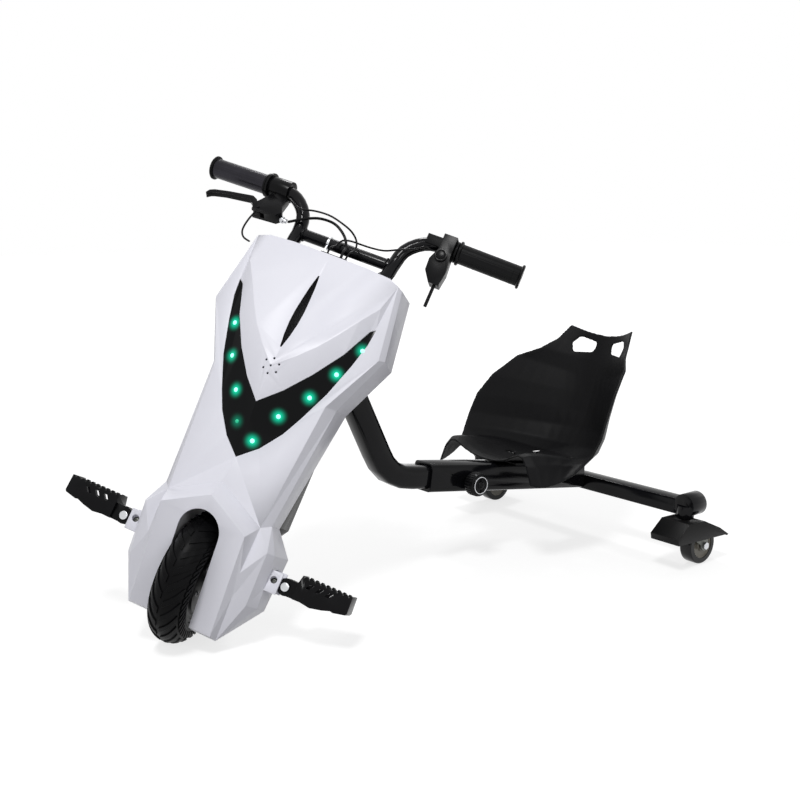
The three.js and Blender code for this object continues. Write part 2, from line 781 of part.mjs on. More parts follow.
// Cables clipped between the levers and the crossbar, down behind the fairing's top edge
function cables() {
  const start = leverThickness * 5.6 + clearance * 6;
  const adjusterEnd = [-leverHalf + start, -leverForward, leverHeight];
  const clampFront = -lowerBarForward - barRadius * 1.6 - clearance;
  const brakeRoute = [
    adjusterEnd,
    [-76, -24, 677],
    [-50, -31, 684],
    [-24, -34, 683],
    [-8, -34, 675],
    [3, -34, 665],
    [10, -38, 651],
    [13, clampFront - cableRadius * 1.6, 639],
    [14, clampFront - cableRadius, 622],
    [14, clampFront - cableRadius, 604],
  ];
  const throttleRoute = [
    [-housingInner + clearance * 2, -9.5, 707.5],
    [-116, -15, 702],
    [-103, -21, 695],
    [-90, -24, 690],
    [-64, -30, 693],
    [-37, -34, 693],
    [-14, -34, 688],
    [6, -32, 681],
    [19, -30, 670],
    [24, -34, 656],
    [22, clampFront - thinCableRadius * 2, 639],
    [20.5, clampFront - thinCableRadius, 622],
    [20, clampFront - thinCableRadius, 604],
  ];
  const podRoute = [
    [127, -housingRadius * 0.7 - clearance * 2, 706],
    [121, -21, 702],
    [108, -24, 692],
    [87, -27, 682],
    [66, -27, 672],
    [44, -23, 670],
    [23, -20.5, 670],
    [8, -20, 670],
    [-5, -22, 666],
    [-9, -28, 653],
    [-9, clampFront - thinCableRadius * 2, 639],
    [-9, clampFront - thinCableRadius, 622],
    [-9, clampFront - thinCableRadius, 604],
  ];
  const leadRoute = [
    [-155, -26.4, 661.5],
    [-158.5, -31, 643],
    [-158, -36, 622],
    [-148, -43, 610],
    [-134, -47, 606],
  ];
  add(steered, "brake_cable", pipe(brakeRoute, cableRadius, 8, 28), rubberBlack);
  add(steered, "throttle_cable", pipe(throttleRoute, thinCableRadius, 7, 30), rubberBlack);
  add(steered, "pod_cable", pipe(podRoute, thinCableRadius, 7, 32), rubberBlack);
  add(steered, "switch_lead", pipe(leadRoute, thinCableRadius, 7, 16), rubberBlack);

  const tieCentre = [-stemWidth * 0.614, -crossbarForward, crossbarHeight];
  const ring = rod(crossbarRadius + wall * 0.6, wall * 1.4, "x", tieCentre, 24);
  const hole = rod(crossbarRadius + clearance, wall * 4, "x", tieCentre, 24);
  const tail = block([wall * 0.6, wall, crossbarRadius], [
    tieCentre[0],
    tieCentre[1] - crossbarRadius,
    tieCentre[2] - crossbarRadius - wall,
  ]);
  add(steered, "cable_tie", ring.subtract(hole).add(tail.subtract(hole)), steel);
}

// Forward place of the flat middle panel at a height
function panelForward(height) {
  return fairingTopForward + (topCornerHeight - height) * panelSlope + wall / 2;
}

// The fairing's edges as rows from the middle to the back, each moved inwards by a wall
function fairingRows(inset, backOverrun) {
  const front = (half, forward, height) => [Math.max(0, half - inset * 0.6), -(forward - inset), height];
  const panel = (half, height) => front(half, panelForward(height), height);
  const crease = [
    panel(topHalf, topCornerHeight - inset),
    ...creaseShares.map(([half, height]) => panel(topHalf * half, fairingTop * height)),
    [0, -(panelForward(panelTip) - inset), panelTip],
  ];
  const lensInner = lensEdge(true).map(([half, forward, height]) => front(half, forward, height));
  const lensOuter = lensEdge(false).map(([half, forward, height]) => front(half, forward, height));
  const middle = [
    [0, -(panelForward(fairingTop) - inset), fairingTop - inset],
    [0, -(panelForward(panelTip) - inset), panelTip],
  ];
  const topEdge = [
    middle[0],
    panel(topHalf * 0.51, fairingTop - wall * 0.17 - inset),
    panel(topHalf * 0.856, fairingTop - wall * 1.17 - inset),
    crease[0],
  ];
  const frontLine = [
    crease[0],
    [wideHalf * 0.932 - inset, -(archSideForward * 0.917 - inset * 0.8), wideHeight - wall * 0.67],
    [waistHalf * 0.852 - inset, -(archSideForward - inset), waistHeight - wall * 2.33],
    [archSideHalf - inset, -(archSideForward - inset), archSideHeight + inset],
  ];
  const outerLine = [
    [topHalf + wall * 2 - inset, -(archSideForward * 0.75 - inset * 0.4), topCornerHeight - wall * 0.67 - inset],
    [wideHalf - wall - inset, -(archSideForward * 0.764 - inset * 0.4), wideHeight + wall * 0.67],
    [waistHalf - wall * 1.33 - inset, -(archSideForward * 0.694 - inset * 0.4), waistHeight - wall],
    [footHalf - inset, -(archSideForward * 0.833 - inset * 0.4), footHeight + inset],
  ];
  const backLine = [
    [topHalf * 1.11 - inset, -wall * 2.67 + backOverrun, topCornerHeight - wall * 1.33 - inset],
    [wideHalf - inset, backOverrun, wideHeight],
    [waistHalf - inset, backOverrun, waistHeight],
    [footHalf - wall - inset, backOverrun || -wall * 1.67, footHeight + inset],
  ];
  const archPoint = [0, -(archTipForward - inset), archTip + inset];
  return { topEdge, middle, crease, lensInner, lensOuter, frontLine, outerLine, backLine, archPoint };
}

// The light lens's two edges: half width, forward place, height, from the arm's tip to the middle
function lensEdge(inner) {
  const place = ([half, forward, height]) => [topHalf * half, archTipForward * forward, fairingTop * height];
  const shares = inner ? lensInnerShares : lensOuterShares;
  const middle = inner ? [0, archTipForward * 1.102, lensNotch] : [0, lensTipForward, lensTip];
  return [place(lensTipShares), ...shares.map(place), middle];
}

function fairingSolid(inset, backOverrun = 0) {
  const rows = fairingRows(inset, backOverrun);
  const triangles = [];
  const both = (first, second) => bothSides(triangles, first, second);
  both([rows.middle[0], rows.middle[1]], [...rows.topEdge.slice(1, 3), ...rows.crease]);
  both(rows.crease, rows.lensInner);
  both(rows.lensInner, rows.lensOuter);
  both(rows.lensOuter, rows.frontLine);
  const lensEnd = rows.lensOuter[rows.lensOuter.length - 1];
  const footFront = rows.frontLine[rows.frontLine.length - 1];
  both([lensEnd, rows.archPoint], [footFront]);
  both(rows.frontLine, rows.outerLine);
  both(rows.outerLine, rows.backLine);
  const last = (row) => row[row.length - 1];
  const topRim = [...rows.topEdge, rows.outerLine[0], rows.backLine[0]];
  const footRim = [rows.archPoint, footFront, last(rows.outerLine), last(rows.backLine)];
  zip(triangles, topRim, mirrored(topRim));
  zip(triangles, mirrored(footRim), footRim);
  zip(triangles, rows.backLine, mirrored(rows.backLine));
  return closedSolid(triangles);
}

// The light's outline in the plane across the steering axis
function lensOutline() {
  const flat = ([half, , height]) => [half, height];
  const outer = lensEdge(false).map(flat);
  const inner = lensEdge(true).map(flat).slice(1);
  const opposite = ([x, z]) => [-x, z];
  return [
    ...outer,
    ...outer.slice(0, -1).map(opposite).reverse(),
    ...inner.slice(0, -1).map(opposite),
    ...inner.slice().reverse(),
  ];
}

// A prism through the fairing's front over the light's outline, grown or shrunk all round
function lensPrism(grow) {
  return frontSlab(grown(lensOutline(), grow));
}

// Where two lines of an outline cross
function crossing(first, second) {
  const [ax, az] = first.way;
  const [bx, bz] = second.way;
  const dx = second.place[0] - first.place[0];
  const dz = second.place[1] - first.place[1];
  const reach = (dx * bz - dz * bx) / (ax * bz - az * bx);
  return [first.place[0] + ax * reach, first.place[1] + az * reach];
}

// A clockwise outline with each edge moved outwards, without the edges that shrink to nothing
function grown(outline, grow) {
  let edges = outline.map((point, i) => {
    const next = outline[(i + 1) % outline.length];
    const length = Math.hypot(next[0] - point[0], next[1] - point[1]);
    const way = [(next[0] - point[0]) / length, (next[1] - point[1]) / length];
    return { way, place: [point[0] - way[1] * grow, point[1] + way[0] * grow] };
  });
  for (;;) {
    const corners = edges.map((edge, i) => crossing(edges.at(i - 1), edge));
    const kept = edges.filter(({ way }, i) => {
      const next = corners[(i + 1) % corners.length];
      return way[0] * (next[0] - corners[i][0]) + way[1] * (next[1] - corners[i][1]) > 0;
    });
    if (kept.length === edges.length) return corners;
    edges = kept;
  }
}

function frontSlab(outline) {
  return slab(outline, overrun * 4, "xz", [0, -archTipForward, 0]);
}

function inlayOutline(grow) {
  const middle = inlayBottom + (inlayTop - inlayBottom) * 0.42;
  const half = inlayHalf + grow;
  const steps = 6;
  const side = Array.from({ length: steps + 1 }, (_, i) => {
    const share = i / steps;
    const height = inlayBottom - grow + (inlayTop - inlayBottom + grow * 2) * share;
    const bulge = height < middle ? (height - inlayBottom) / (middle - inlayBottom) : (inlayTop - height) / (inlayTop - middle);
    return [half * Math.sqrt(Math.max(0.02, bulge)), height];
  });
  return [...side, ...side.slice().reverse().map(([x, z]) => [-x, z])];
}

function headOpening() {
  const uprightRoom = uprightHalf + barRadius * 2;
  const top = span(
    [-uprightRoom, -lowerBarForward - barRadius * 2.4, lowerBarHeight - barRadius * 2],
    [uprightRoom, overrun, fairingTop + overrun],
  );
  return top;
}

function crownOpening() {
  return span(
    [-legInset - legThickness - legWidth / 2, -archSideForward * 0.861, shoulderHeight],
    [legInset + legThickness + legWidth / 2, overrun * 2, archTip + wall * 3],
  );
}

function fairing() {
  const outer = fairingSolid(0);
  const shell = outer.subtract(fairingSolid(wall, overrun)).subtract(headOpening()).subtract(crownOpening());
  const lensBand = lensPrism(-lensFit);
  const lensRoom = lensPrism(clearance);
  const pocketDepth = fairingSolid(inlayDepth + clearance);
  const inlayRoom = frontSlab(inlayOutline(clearance)).subtract(pocketDepth);
  const speakerHeight = panelTip;
  let body = shell.subtract(lensRoom).subtract(inlayRoom);
  const holes = [[0, speakerHeight]];
  for (let i = 0; i < 6; i++) {
    const angle = radians(30 + 60 * i);
    holes.push([speakerRing * Math.cos(angle), speakerHeight + speakerRing * Math.sin(angle)]);
  }
  for (const [x, z] of holes) {
    body = body.subtract(rod(speakerHoleRadius, overrun * 2, "y", [x, -archTipForward - wall * 4, z], 10));
  }
  add(steered, "front_fairing", body, white);

  const lensSkin = fairingSolid(lensRecess).subtract(fairingSolid(lensRecess + lensThickness));
  add(steered, "light_lens", lensSkin.intersect(lensBand), glossBlack);
  const boardTop = lensRecess + lensThickness + lightGap;
  const board = fairingSolid(boardTop).subtract(fairingSolid(boardTop + lightDepth));
  add(steered, "light_strip", largest(board.intersect(lensPrism(-wall * 1.4))), lightGreen);
  const inlay = outer.subtract(fairingSolid(inlayDepth)).intersect(frontSlab(inlayOutline(0)));
  add(steered, "centre_inlay", inlay, glossBlack);

  const cavity = fairingSolid(wall + clearance, overrun);
  const speakerLength = 22;
  const speakerBody = rod(speakerRadius, speakerLength, "y", [0, -panelForward(speakerHeight) + speakerLength / 2, speakerHeight + wall], 28);
  add(steered, "speaker", speakerBody.intersect(cavity), plasticBlack);
}

function innerParts() {
  const behind = -steererRadius - clearance;
  const pack = block(battery, [0, behind - battery[1] / 2, batteryBottom + battery[2] / 2]);
  add(steered, "battery_pack", pack, boxBlue);
  const board = block(controller, [0, behind - controller[1] / 2, controllerBottom + controller[2] / 2]);
  add(steered, "motor_controller", board, aluminium);
}

// The shroud's edges from the middle of the arch outwards and down, each moved inwards by a wall
function shroudRows(inset, backOverrun) {
  const inside = (half) => Math.max(0, half - inset);
  const arch = [
    [0, -(archTipForward - inset), archTip - inset * 0.5],
    [inside(archSideHalf), -(archSideForward - inset), archSideHeight - inset * 0.5],
  ];
  const facet = [
    [0, -(archTipForward * 1.216 - inset * 1.2), archTip * 0.904 - inset * 0.8],
    [inside(archSideHalf * 0.895), -(archTipForward * 1.125 - inset), archSideHeight * 0.905 - inset * 0.6],
    [inside(toeHalf * 0.918), -(archSideForward * 0.722 - inset), toeHeight * 1.11],
  ];
  const chamfer = [
    arch[1],
    [inside(archSideHalf), -(archSideForward * 1.028 - inset), archSideHeight * 0.671],
    [inside(archSideHalf), -(archSideForward * 0.847 - inset), cheekHeight * 1.05],
    [inside(toeHalf), -(toeForward - inset), toeHeight],
  ];
  const shoulder = [
    arch[1],
    [inside(shoulderHalf * 0.885), -(archSideForward * 0.972 - inset), shoulderHeight],
    [inside(cheekHalf * 0.866), -(archSideForward * 0.694 - inset), cheekHeight],
    chamfer[3],
  ];
  const outerLine = [
    [inside(footHalf), -(archSideForward * 0.833 - inset * 0.5), footHeight],
    [inside(shoulderHalf * 0.956), -(archSideForward * 0.75 - inset * 0.5), shoulderHeight],
    [inside(cheekHalf - wall), -(archSideForward * 0.417 - inset * 0.5), cheekHeight * 1.01],
    chamfer[3],
  ];
  const backLine = [
    [inside(footHalf - wall), backOverrun || -wall * 1.67, footHeight],
    [inside(shoulderHalf), wall * 3 + backOverrun, shoulderHeight],
    [inside(cheekHalf), wall * 0.67 + backOverrun, cheekHeight * 0.99],
    inset ? [chamfer[3][0], backOverrun, toeHeight] : chamfer[3],
  ];
  return { arch, facet, chamfer, shoulder, outerLine, backLine };
}

function shroudSolid(inset, backOverrun = 0) {
  const rows = shroudRows(inset, backOverrun);
  const triangles = [];
  const both = (first, second) => bothSides(triangles, first, second);
  both(rows.facet.slice(0, 2), rows.arch);
  zip(triangles, mirrored(rows.facet), rows.facet);
  both([rows.facet[1], rows.facet[2]], rows.chamfer);
  both(rows.chamfer, rows.shoulder);
  both(rows.shoulder, rows.outerLine);
  both(rows.outerLine, rows.backLine);
  const last = (row) => row[row.length - 1];
  const topRim = [rows.arch[0], rows.arch[1], rows.shoulder[0], rows.outerLine[0], rows.backLine[0]];
  const toeRim = [last(rows.facet), last(rows.chamfer)];
  if (last(rows.backLine) !== last(rows.chamfer)) toeRim.push(last(rows.backLine));
  zip(triangles, topRim, mirrored(topRim));
  zip(triangles, mirrored(toeRim), toeRim);
  zip(triangles, rows.backLine, mirrored(rows.backLine));
  return closedSolid(triangles);
}

function shroud() {
  const slotCentre = slotTop - slotHalf;
  const slotOutline = [
    [-slotHalf, -overrun],
    [slotHalf, -overrun],
    ...arc([0, slotCentre], slotHalf, 0, 180, 14),
  ];
  const slot = slab(slotOutline, overrun * 3, "xz", [0, -archTipForward, 0]);
  const deepSlot = slab(slotOutline, overrun * 5, "xz", [0, -archTipForward + overrun, 0]);
  const underside = span(
    [-cheekHalf * 2, -toeForward + wall, -overrun * 3],
    [cheekHalf * 2, overrun * 3, toeHeight + wall * 2],
  );
  const above = fairingSolid(0).translate([0, 0, -clearance * 1.3]);
  const outer = shroudSolid(0).subtract(above);
  const inner = shroudSolid(wall, overrun);
  const lower = span(
    [-toeHalf + wall, -toeForward, -overrun],
    [toeHalf - wall, overrun * 3, cheekHeight],
  );
  const armRoom = span(
    [-pegPivotHalf, -pegPivotForward - bracketDepth / 2 - wall / 3, bracketBottom - wall / 3],
    [pegPivotHalf, -pegPivotForward + bracketDepth / 2 + wall / 3, bracketTop + wall / 3],
  );
  const body = outer
    .subtract(inner)
    .subtract(slot)
    .subtract(deepSlot)
    .subtract(lower)
    .subtract(underside)
    .subtract(crownOpening())
    .subtract(armRoom);
  add(steered, "wheel_shroud", body, white);
}

// The dark shell that closes the fairing's back: height, front half width, back half width, depth
function backCover() {
  const sections = [
    [coverTop, wideHalf * 0.877, wideHalf * 0.425, coverDepth / 2],
    [waistHeight, waistHalf - wall * 1.5, waistHalf * 0.704, coverDepth * 0.6],
    [waistHeight * 0.937, waistHalf * 0.917, waistHalf * 0.843, coverDepth * 0.75],
    [waistHeight * 0.783, waistHalf * 0.861, waistHalf * 0.796, coverDepth],
    [footHeight + wall * 0.67, footHalf - wall * 1.33, footHalf - wall / 3, coverDepth * 1.05],
    [coverBottom, footHalf * 0.886, footHalf * 0.841, coverDepth * 0.85],
  ];
  const make = (inset, frontGap) => {
    const rows = [[], []];
    sections.forEach(([height, frontHalf, backHalf, depth], i) => {
      const level = trimmed(height, i, inset);
      rows[0].push([frontHalf - inset, frontGap, level]);
      rows[1].push([backHalf - inset, depth - inset, level]);
    });
    return rowsSolid(rows);
  };
  const trimmed = (height, i, inset) => {
    if (i === 0) return height - inset;
    if (i === sections.length - 1) return height + inset;
    return height;
  };
  const shell = make(0, clearance).subtract(make(wall, -overrun));
  const shroudRoom = shroudSolid(0, 0);
  const legRoom = span(
    [-legInset - legThickness * 2, -overrun, coverBottom - overrun],
    [legInset + legThickness * 2, legWidth / 2 + wall, coverBottom + wall * 2],
  );
  const wheelRoom = rod(wheelRadius + wall * 2, tyreWidth + wall * 6, "x", axle, 40);
  const tubeRoom = rod(steererRadius + wall, fairingTop, "z", [0, 0, fairingTop / 2], 24);
  const cover = shell.subtract(shroudRoom).subtract(legRoom).subtract(wheelRoom).subtract(tubeRoom);
  add(steered, "back_cover", largest(cover), plasticBlack);
}

// A symmetric solid between a front row and a back row of points
function rowsSolid([front, back]) {
  const triangles = [];
  bothSides(triangles, front, back);
  zip(triangles, mirrored(front), front);
  zip(triangles, back, mirrored(back));
  zip(triangles, [front[0], back[0]], mirrored([front[0], back[0]]));
  const end = front.length - 1;
  zip(triangles, mirrored([front[end], back[end]]), [front[end], back[end]]);
  return closedSolid(triangles);
}

function chargePort() {
  const place = [-footHalf * 0.55, coverDepth + wall, footHeight + coverDepth * 1.6];
  add(steered, "charge_port", rod(portRadius, wall, "y", place, 20), plasticBlack);
}

function pegs() {
  const armHalf = bracketDepth / 2 - wall;
  const forward = -pegPivotForward;
  const earInner = bracketDepth / 2 - wall - clearance;
  const lugHalf = 5;
  const lugRadius = 8.5;
  const armRise = 8;
  for (const [side, name] of [[1, "left"], [-1, "right"]]) {
    const place = (low, high) => {
      const xs = [side * low[0], side * high[0]].sort((a, b) => a - b);
      return span([xs[0], low[1], low[2]], [xs[1], high[1], high[2]]);
    };
    const armStart = legInset + legThickness + clearance;
    const arm = place(
      [armStart, forward - armHalf, pegPivotHeight - armRise],
      [bracketInner + wall / 3, forward + armHalf, pegPivotHeight + armRise],
    );
    const web = place(
      [bracketInner, forward - bracketDepth / 2, bracketBottom],
      [bracketInner + wall, forward + bracketDepth / 2, bracketTop],
    );
    const frontPlate = place(
      [bracketInner, forward - bracketDepth / 2, bracketBottom],
      [bracketOuter, forward - bracketDepth / 2 + wall, bracketTop],
    );
    const backPlate = place(
      [bracketInner, forward + bracketDepth / 2 - wall, bracketBottom],
      [bracketOuter, forward + bracketDepth / 2, bracketTop],
    );
    const lugBody = place(
      [bracketInner, forward - lugHalf, pegPivotHeight - lugRadius],
      [pegPivotHalf, forward + lugHalf, pegPivotHeight + lugRadius],
    );
    const lugEnd = rod(lugRadius, lugHalf * 2, "y", [side * pegPivotHalf, forward, pegPivotHeight], 20);
    const windowPlace = [(side * (bracketInner + bracketOuter)) / 2, forward - bracketDepth / 2, pegPivotHeight + wall];
    const window = rod(pegBoltRadius * 1.375, wall * 3, "y", windowPlace, 16);
    const bore = rod(pegBoltRadius + clearance, bracketDepth * 2, "y", [side * pegPivotHalf, forward, pegPivotHeight], 16);
    const bracket = joined([arm, web, frontPlate, backPlate, lugBody, lugEnd]).subtract(bore).subtract(window);
    add(steered, "peg_bracket_" + name, bracket, white);

    const shank = rod(pegBoltRadius, earInner * 2 + wall, "y", [side * pegPivotHalf, forward, pegPivotHeight], 16);
    const headPlace = forward - earInner - wall * 0.9 - clearance;
    const head = rod(pegBoltRadius * 1.65, wall * 0.8, "y", [side * pegPivotHalf, headPlace, pegPivotHeight], 20);
    const reach = rod(pegBoltRadius, wall * 2, "y", [side * pegPivotHalf, headPlace + wall * 0.8, pegPivotHeight], 16);
    add(steered, "peg_bolt_" + name, joined([shank, head, reach]), steel);
    add(steered, "foot_peg_" + name, footPeg(side, forward, earInner, lugHalf), plasticBlack);
  }
}

// A folding foot peg: two ears on the bracket's lug, a curved belly and a toothed tread of two rails
function footPeg(side, forward, earInner, lugHalf) {
  const foldRoom = 8.5;
  const earRadius = 13;
  const reach = pegEndHalf - pegPivotHalf;
  const treadStart = pegPivotHalf + reach * 0.2;
  const teeth = 9;
  const pitch = (pegEndHalf - treadStart) / teeth;
  const toothDepth = 3.4;
  const toothRow = [];
  for (let i = 0; i < teeth; i++) {
    const left = pegEndHalf - i * pitch;
    toothRow.push([left - pitch * 0.15, pegTop], [left - pitch * 0.5, pegTop], [left - pitch * 0.7, pegTop - toothDepth]);
  }
  const belly = pegPivotHeight - earRadius;
  const bellyShares = [[0.3, 0.02], [0.46, 0], [0.64, 0.04], [0.76, 0.08], [0.8, 0.07], [0.98, 0.11], [1, 0.14]];
  const slotShares = [0.19, 0.38, 0.57];
  const outline = [
    [pegPivotHalf + wall, belly + wall / 3],
    ...bellyShares.map(([along, rise]) => [pegPivotHalf + reach * along, belly + reach * rise]),
    ...toothRow,
    [treadStart, pegTop],
    [treadStart - wall, pegPivotHeight + earRadius],
    [pegPivotHalf + wall, pegPivotHeight + earRadius],
  ];
  const points = outline.map(([x, z]) => [side * x, z]);
  const body = slab(points, pegDepth, "xz", [0, forward, 0]);
  const narrow = (low, high) => {
    const xs = [side * low[0], side * high[0]].sort((a, b) => a - b);
    return span([xs[0], low[1], low[2]], [xs[1], high[1], high[2]]);
  };
  const tongueTrim = [-1, 1].map((end) => {
    const edge = forward + end * earInner;
    const far = forward + end * pegDepth;
    return narrow(
      [0, Math.min(edge, far), 0],
      [treadStart - wall, Math.max(edge, far), pegTop * 2],
    );
  });
  const ears = joined([
    rod(earRadius, earInner * 2, "y", [side * pegPivotHalf, forward, pegPivotHeight], 20).subtract(
      narrow([0, forward - pegDepth, 0], [pegPivotHalf - earRadius * 0.66, forward + pegDepth, pegTop * 2]),
    ),
  ]);
  const railInner = pegDepth / 2 - wall * 1.4;
  const channel = narrow(
    [treadStart + wall, forward - railInner, pegPivotHeight + wall],
    [pegEndHalf - wall * 2, forward + railInner, pegTop * 2],
  );
  const lugRoom = joined([
    narrow(
      [0, forward - lugHalf - clearance, 0],
      [pegPivotHalf, forward + lugHalf + clearance, pegTop * 2],
    ),
    rod(earRadius * 0.808, (lugHalf + clearance) * 2, "y", [side * pegPivotHalf, forward, pegPivotHeight], 20),
    narrow(
      [pegPivotHalf - wall / 3, forward - lugHalf - clearance, 0],
      [pegPivotHalf + lugHalf, forward + lugHalf + clearance, pegPivotHeight],
    ),
    narrow(
      [pegPivotHalf - wall / 3, forward - lugHalf - clearance, pegPivotHeight],
      [pegPivotHalf + foldRoom, forward + lugHalf + clearance, pegTop * 2],
    ),
  ]);
  const bore = rod(pegBoltRadius + clearance, pegDepth * 2, "y", [side * pegPivotHalf, forward, pegPivotHeight], 16);
  let peg = body.subtract(tongueTrim[0]).subtract(tongueTrim[1]).add(ears);
  peg = peg.subtract(channel).subtract(lugRoom).subtract(bore);
  const slotHeight = pegPivotHeight + earRadius * 1.08;
  const slotRise = wall * 1.33;
  for (const share of slotShares) {
    const centre = treadStart + (pegEndHalf - treadStart) * share;
    const slot = [
      [centre - wall * 2, slotHeight - slotRise],
      [centre, slotHeight - slotRise],
      [centre + wall * 2, slotHeight + slotRise],
      [centre, slotHeight + slotRise],
    ].map(([x, z]) => [side * x, z]);
    peg = peg.subtract(slab(slot, pegDepth * 2, "xz", [0, forward, 0]));
  }
  return peg;
}

// Height of the rail's centre line at a distance in front of the caster line
function railAt(front) {
  return railHeight + front * Math.tan(radians(railSlope));
}

function railCorners() {
  const joint = (headTop + headBottom) / 2 + wall * 1.6;
  const top = new THREE.Vector3(
    0,
    -steeringGround + joint * Math.sin(radians(rake)),
    joint * Math.cos(radians(rake)),
  );
  const down = new THREE.Vector3(0, Math.sin(radians(railLean)), -Math.cos(radians(railLean)));
  const slope = Math.tan(radians(railSlope));
  const along = (top.z - railHeight + slope * top.y) / (Math.cos(radians(railLean)) - slope * Math.sin(radians(railLean)));
  const corner = top.clone().addScaledVector(down, along);
  const end = new THREE.Vector3(0, -railEnd, railAt(railEnd));
  return [top, corner, end];
}

// Pieces about the steering axis that stay with the frame
function onHead(name, solid, look) {
  const fixed = new THREE.Group();
  headAngle.add(fixed);
  return add(fixed, name, solid, look);
}

function headPieces() {
  const length = headTop - headBottom;
  const middle = (headTop + headBottom) / 2;
  const tube = rod(headRadius, length, "z", [0, 0, middle], 28);
  const bore = rod(steererRadius + wall, length * 2, "z", [0, 0, middle], 28);
  onHead("head_tube", tube.subtract(bore), frameBlack);
  const cup = (bottom) => {
    const centre = [0, 0, bottom + cupHeight / 2];
    return rod(cupRadius, cupHeight, "z", centre, 28).subtract(rod(steererRadius + clearance, cupHeight * 2, "z", centre, 28));
  };
  onHead("headset_lower", cup(headBottom - cupHeight - clearance), steel);
  onHead("headset_upper", cup(headTop + clearance), steel);
}

function mainRail() {
  const corners = railCorners();
  const path = bentPath(corners, railBend);
  const tube = swept(roundedSquare(railSide, railSide * 0.2), path, 26);
  const inner = swept(roundedSquare(railSide - railWall * 2, railSide * 0.15), path, 26);
  const lower = span([-railSide, -railEnd - overrun * 4, 0], [railSide, 0, railAt(railEnd) * 2]);
  const mouth = inner.intersect(lower);
  const head = rod(headRadius + clearance, (headTop - headBottom) * 2, "z", [0, 0, (headTop + headBottom) / 2], 28)
    .rotate([-rake, 0, 0])
    .translate([0, -steeringGround, 0]);
  const front = span(
    [-railSide, -steeringGround - railSide * 4, 0],
    [railSide, corners[0].y, corners[0].z * 2],
  );
  add(trike, "main_rail", tube.subtract(mouth).subtract(head).subtract(front), frameBlack);
}

// A straight square tube along the rail's slope between two distances in front of the casters
function railTube(side, radius, from, to) {
  const start = new THREE.Vector3(0, -from, railAt(from));
  const end = new THREE.Vector3(0, -to, railAt(to));
  return swept(roundedSquare(side, radius), new THREE.LineCurve3(start, end), 1);
}

function rearFrame() {
  const seatTube = railTube(sleeveSide, sleeveSide * 0.12, sleeveStart, 0);
  const bore = railTube(railSide + clearance * 2, railSide * 0.2, sleeveStart + overrun, crossSide * 2);
  const crossRoom = span(
    [-sleeveSide, -crossFront - clearance, 0],
    [sleeveSide, overrun, railHeight * 3],
  );
  const screwPlace = [sleeveSide / 2, -knobPlace, railAt(knobPlace) - knobDrop];
  const screwRoom = rod(stemRadius / 2 + clearance, sleeveSide, "x", screwPlace, 12);
  add(trike, "sleeve_tube", seatTube.subtract(bore).subtract(crossRoom).subtract(screwRoom), frameBlack);

  const section = roundedSquare(crossSide, crossSide * 0.133);
  const middle = [0, -crossFront + crossSide / 2, crossBottom + crossSide / 2];
  const line = new THREE.LineCurve3(
    new THREE.Vector3(-crossHalf, middle[1], middle[2]),
    new THREE.Vector3(crossHalf, middle[1], middle[2]),
  );
  const tube = swept(section, line, 1);
  add(trike, "cross_tube", tube, frameBlack);
}

function seatPlate() {
  const from = 236;
  const to = 84;
  const width = 84;
  const start = new THREE.Vector3(0, -from, railAt(from));
  const end = new THREE.Vector3(0, -to, railAt(to));
  const lift = sleeveSide / 2 + clearance + plateThickness / 2;
  const middle = start.clone().add(end).multiplyScalar(0.5);
  const plate = solidOf(
    new THREE.BoxGeometry(width, start.distanceTo(end), plateThickness)
      .translate(0, 0, lift)
      .rotateX(-radians(railSlope))
      .translate(middle.x, middle.y, middle.z),
  );
  add(trike, "seat_plate", plate, frameBlack);
}

// The seat's moulded form: its rows' sizes, then how square each section is
function seatRows() {
  const deck = (front) => railAt(front) + (sleeveSide / 2 + clearance + plateThickness + seatGap + seatWall) * 1.012;
  return seatShares.map(([place, height, half, edgePlace, edgeHeight, ridge], i) => {
    const base = i < seatDeckRow ? 0 : deck(-seatHalf * place);
    const sizes = [place, height, half, edgePlace, edgeHeight, ridge].map((share) => share * seatHalf);
    sizes[1] += base;
    return [...sizes, seatPowers[i]];
  });
}

function seatPoint(row, across) {
  const [y, z, half, edgeY, edgeZ, ridge, power] = row;
  const share = Math.abs(across) ** power;
  const lift = ridge * Math.sin(Math.PI * Math.abs(across) ** ridgePower);
  return new THREE.Vector3(half * across, y + (edgeY - y) * share, z + (edgeZ - z) * share + lift);
}

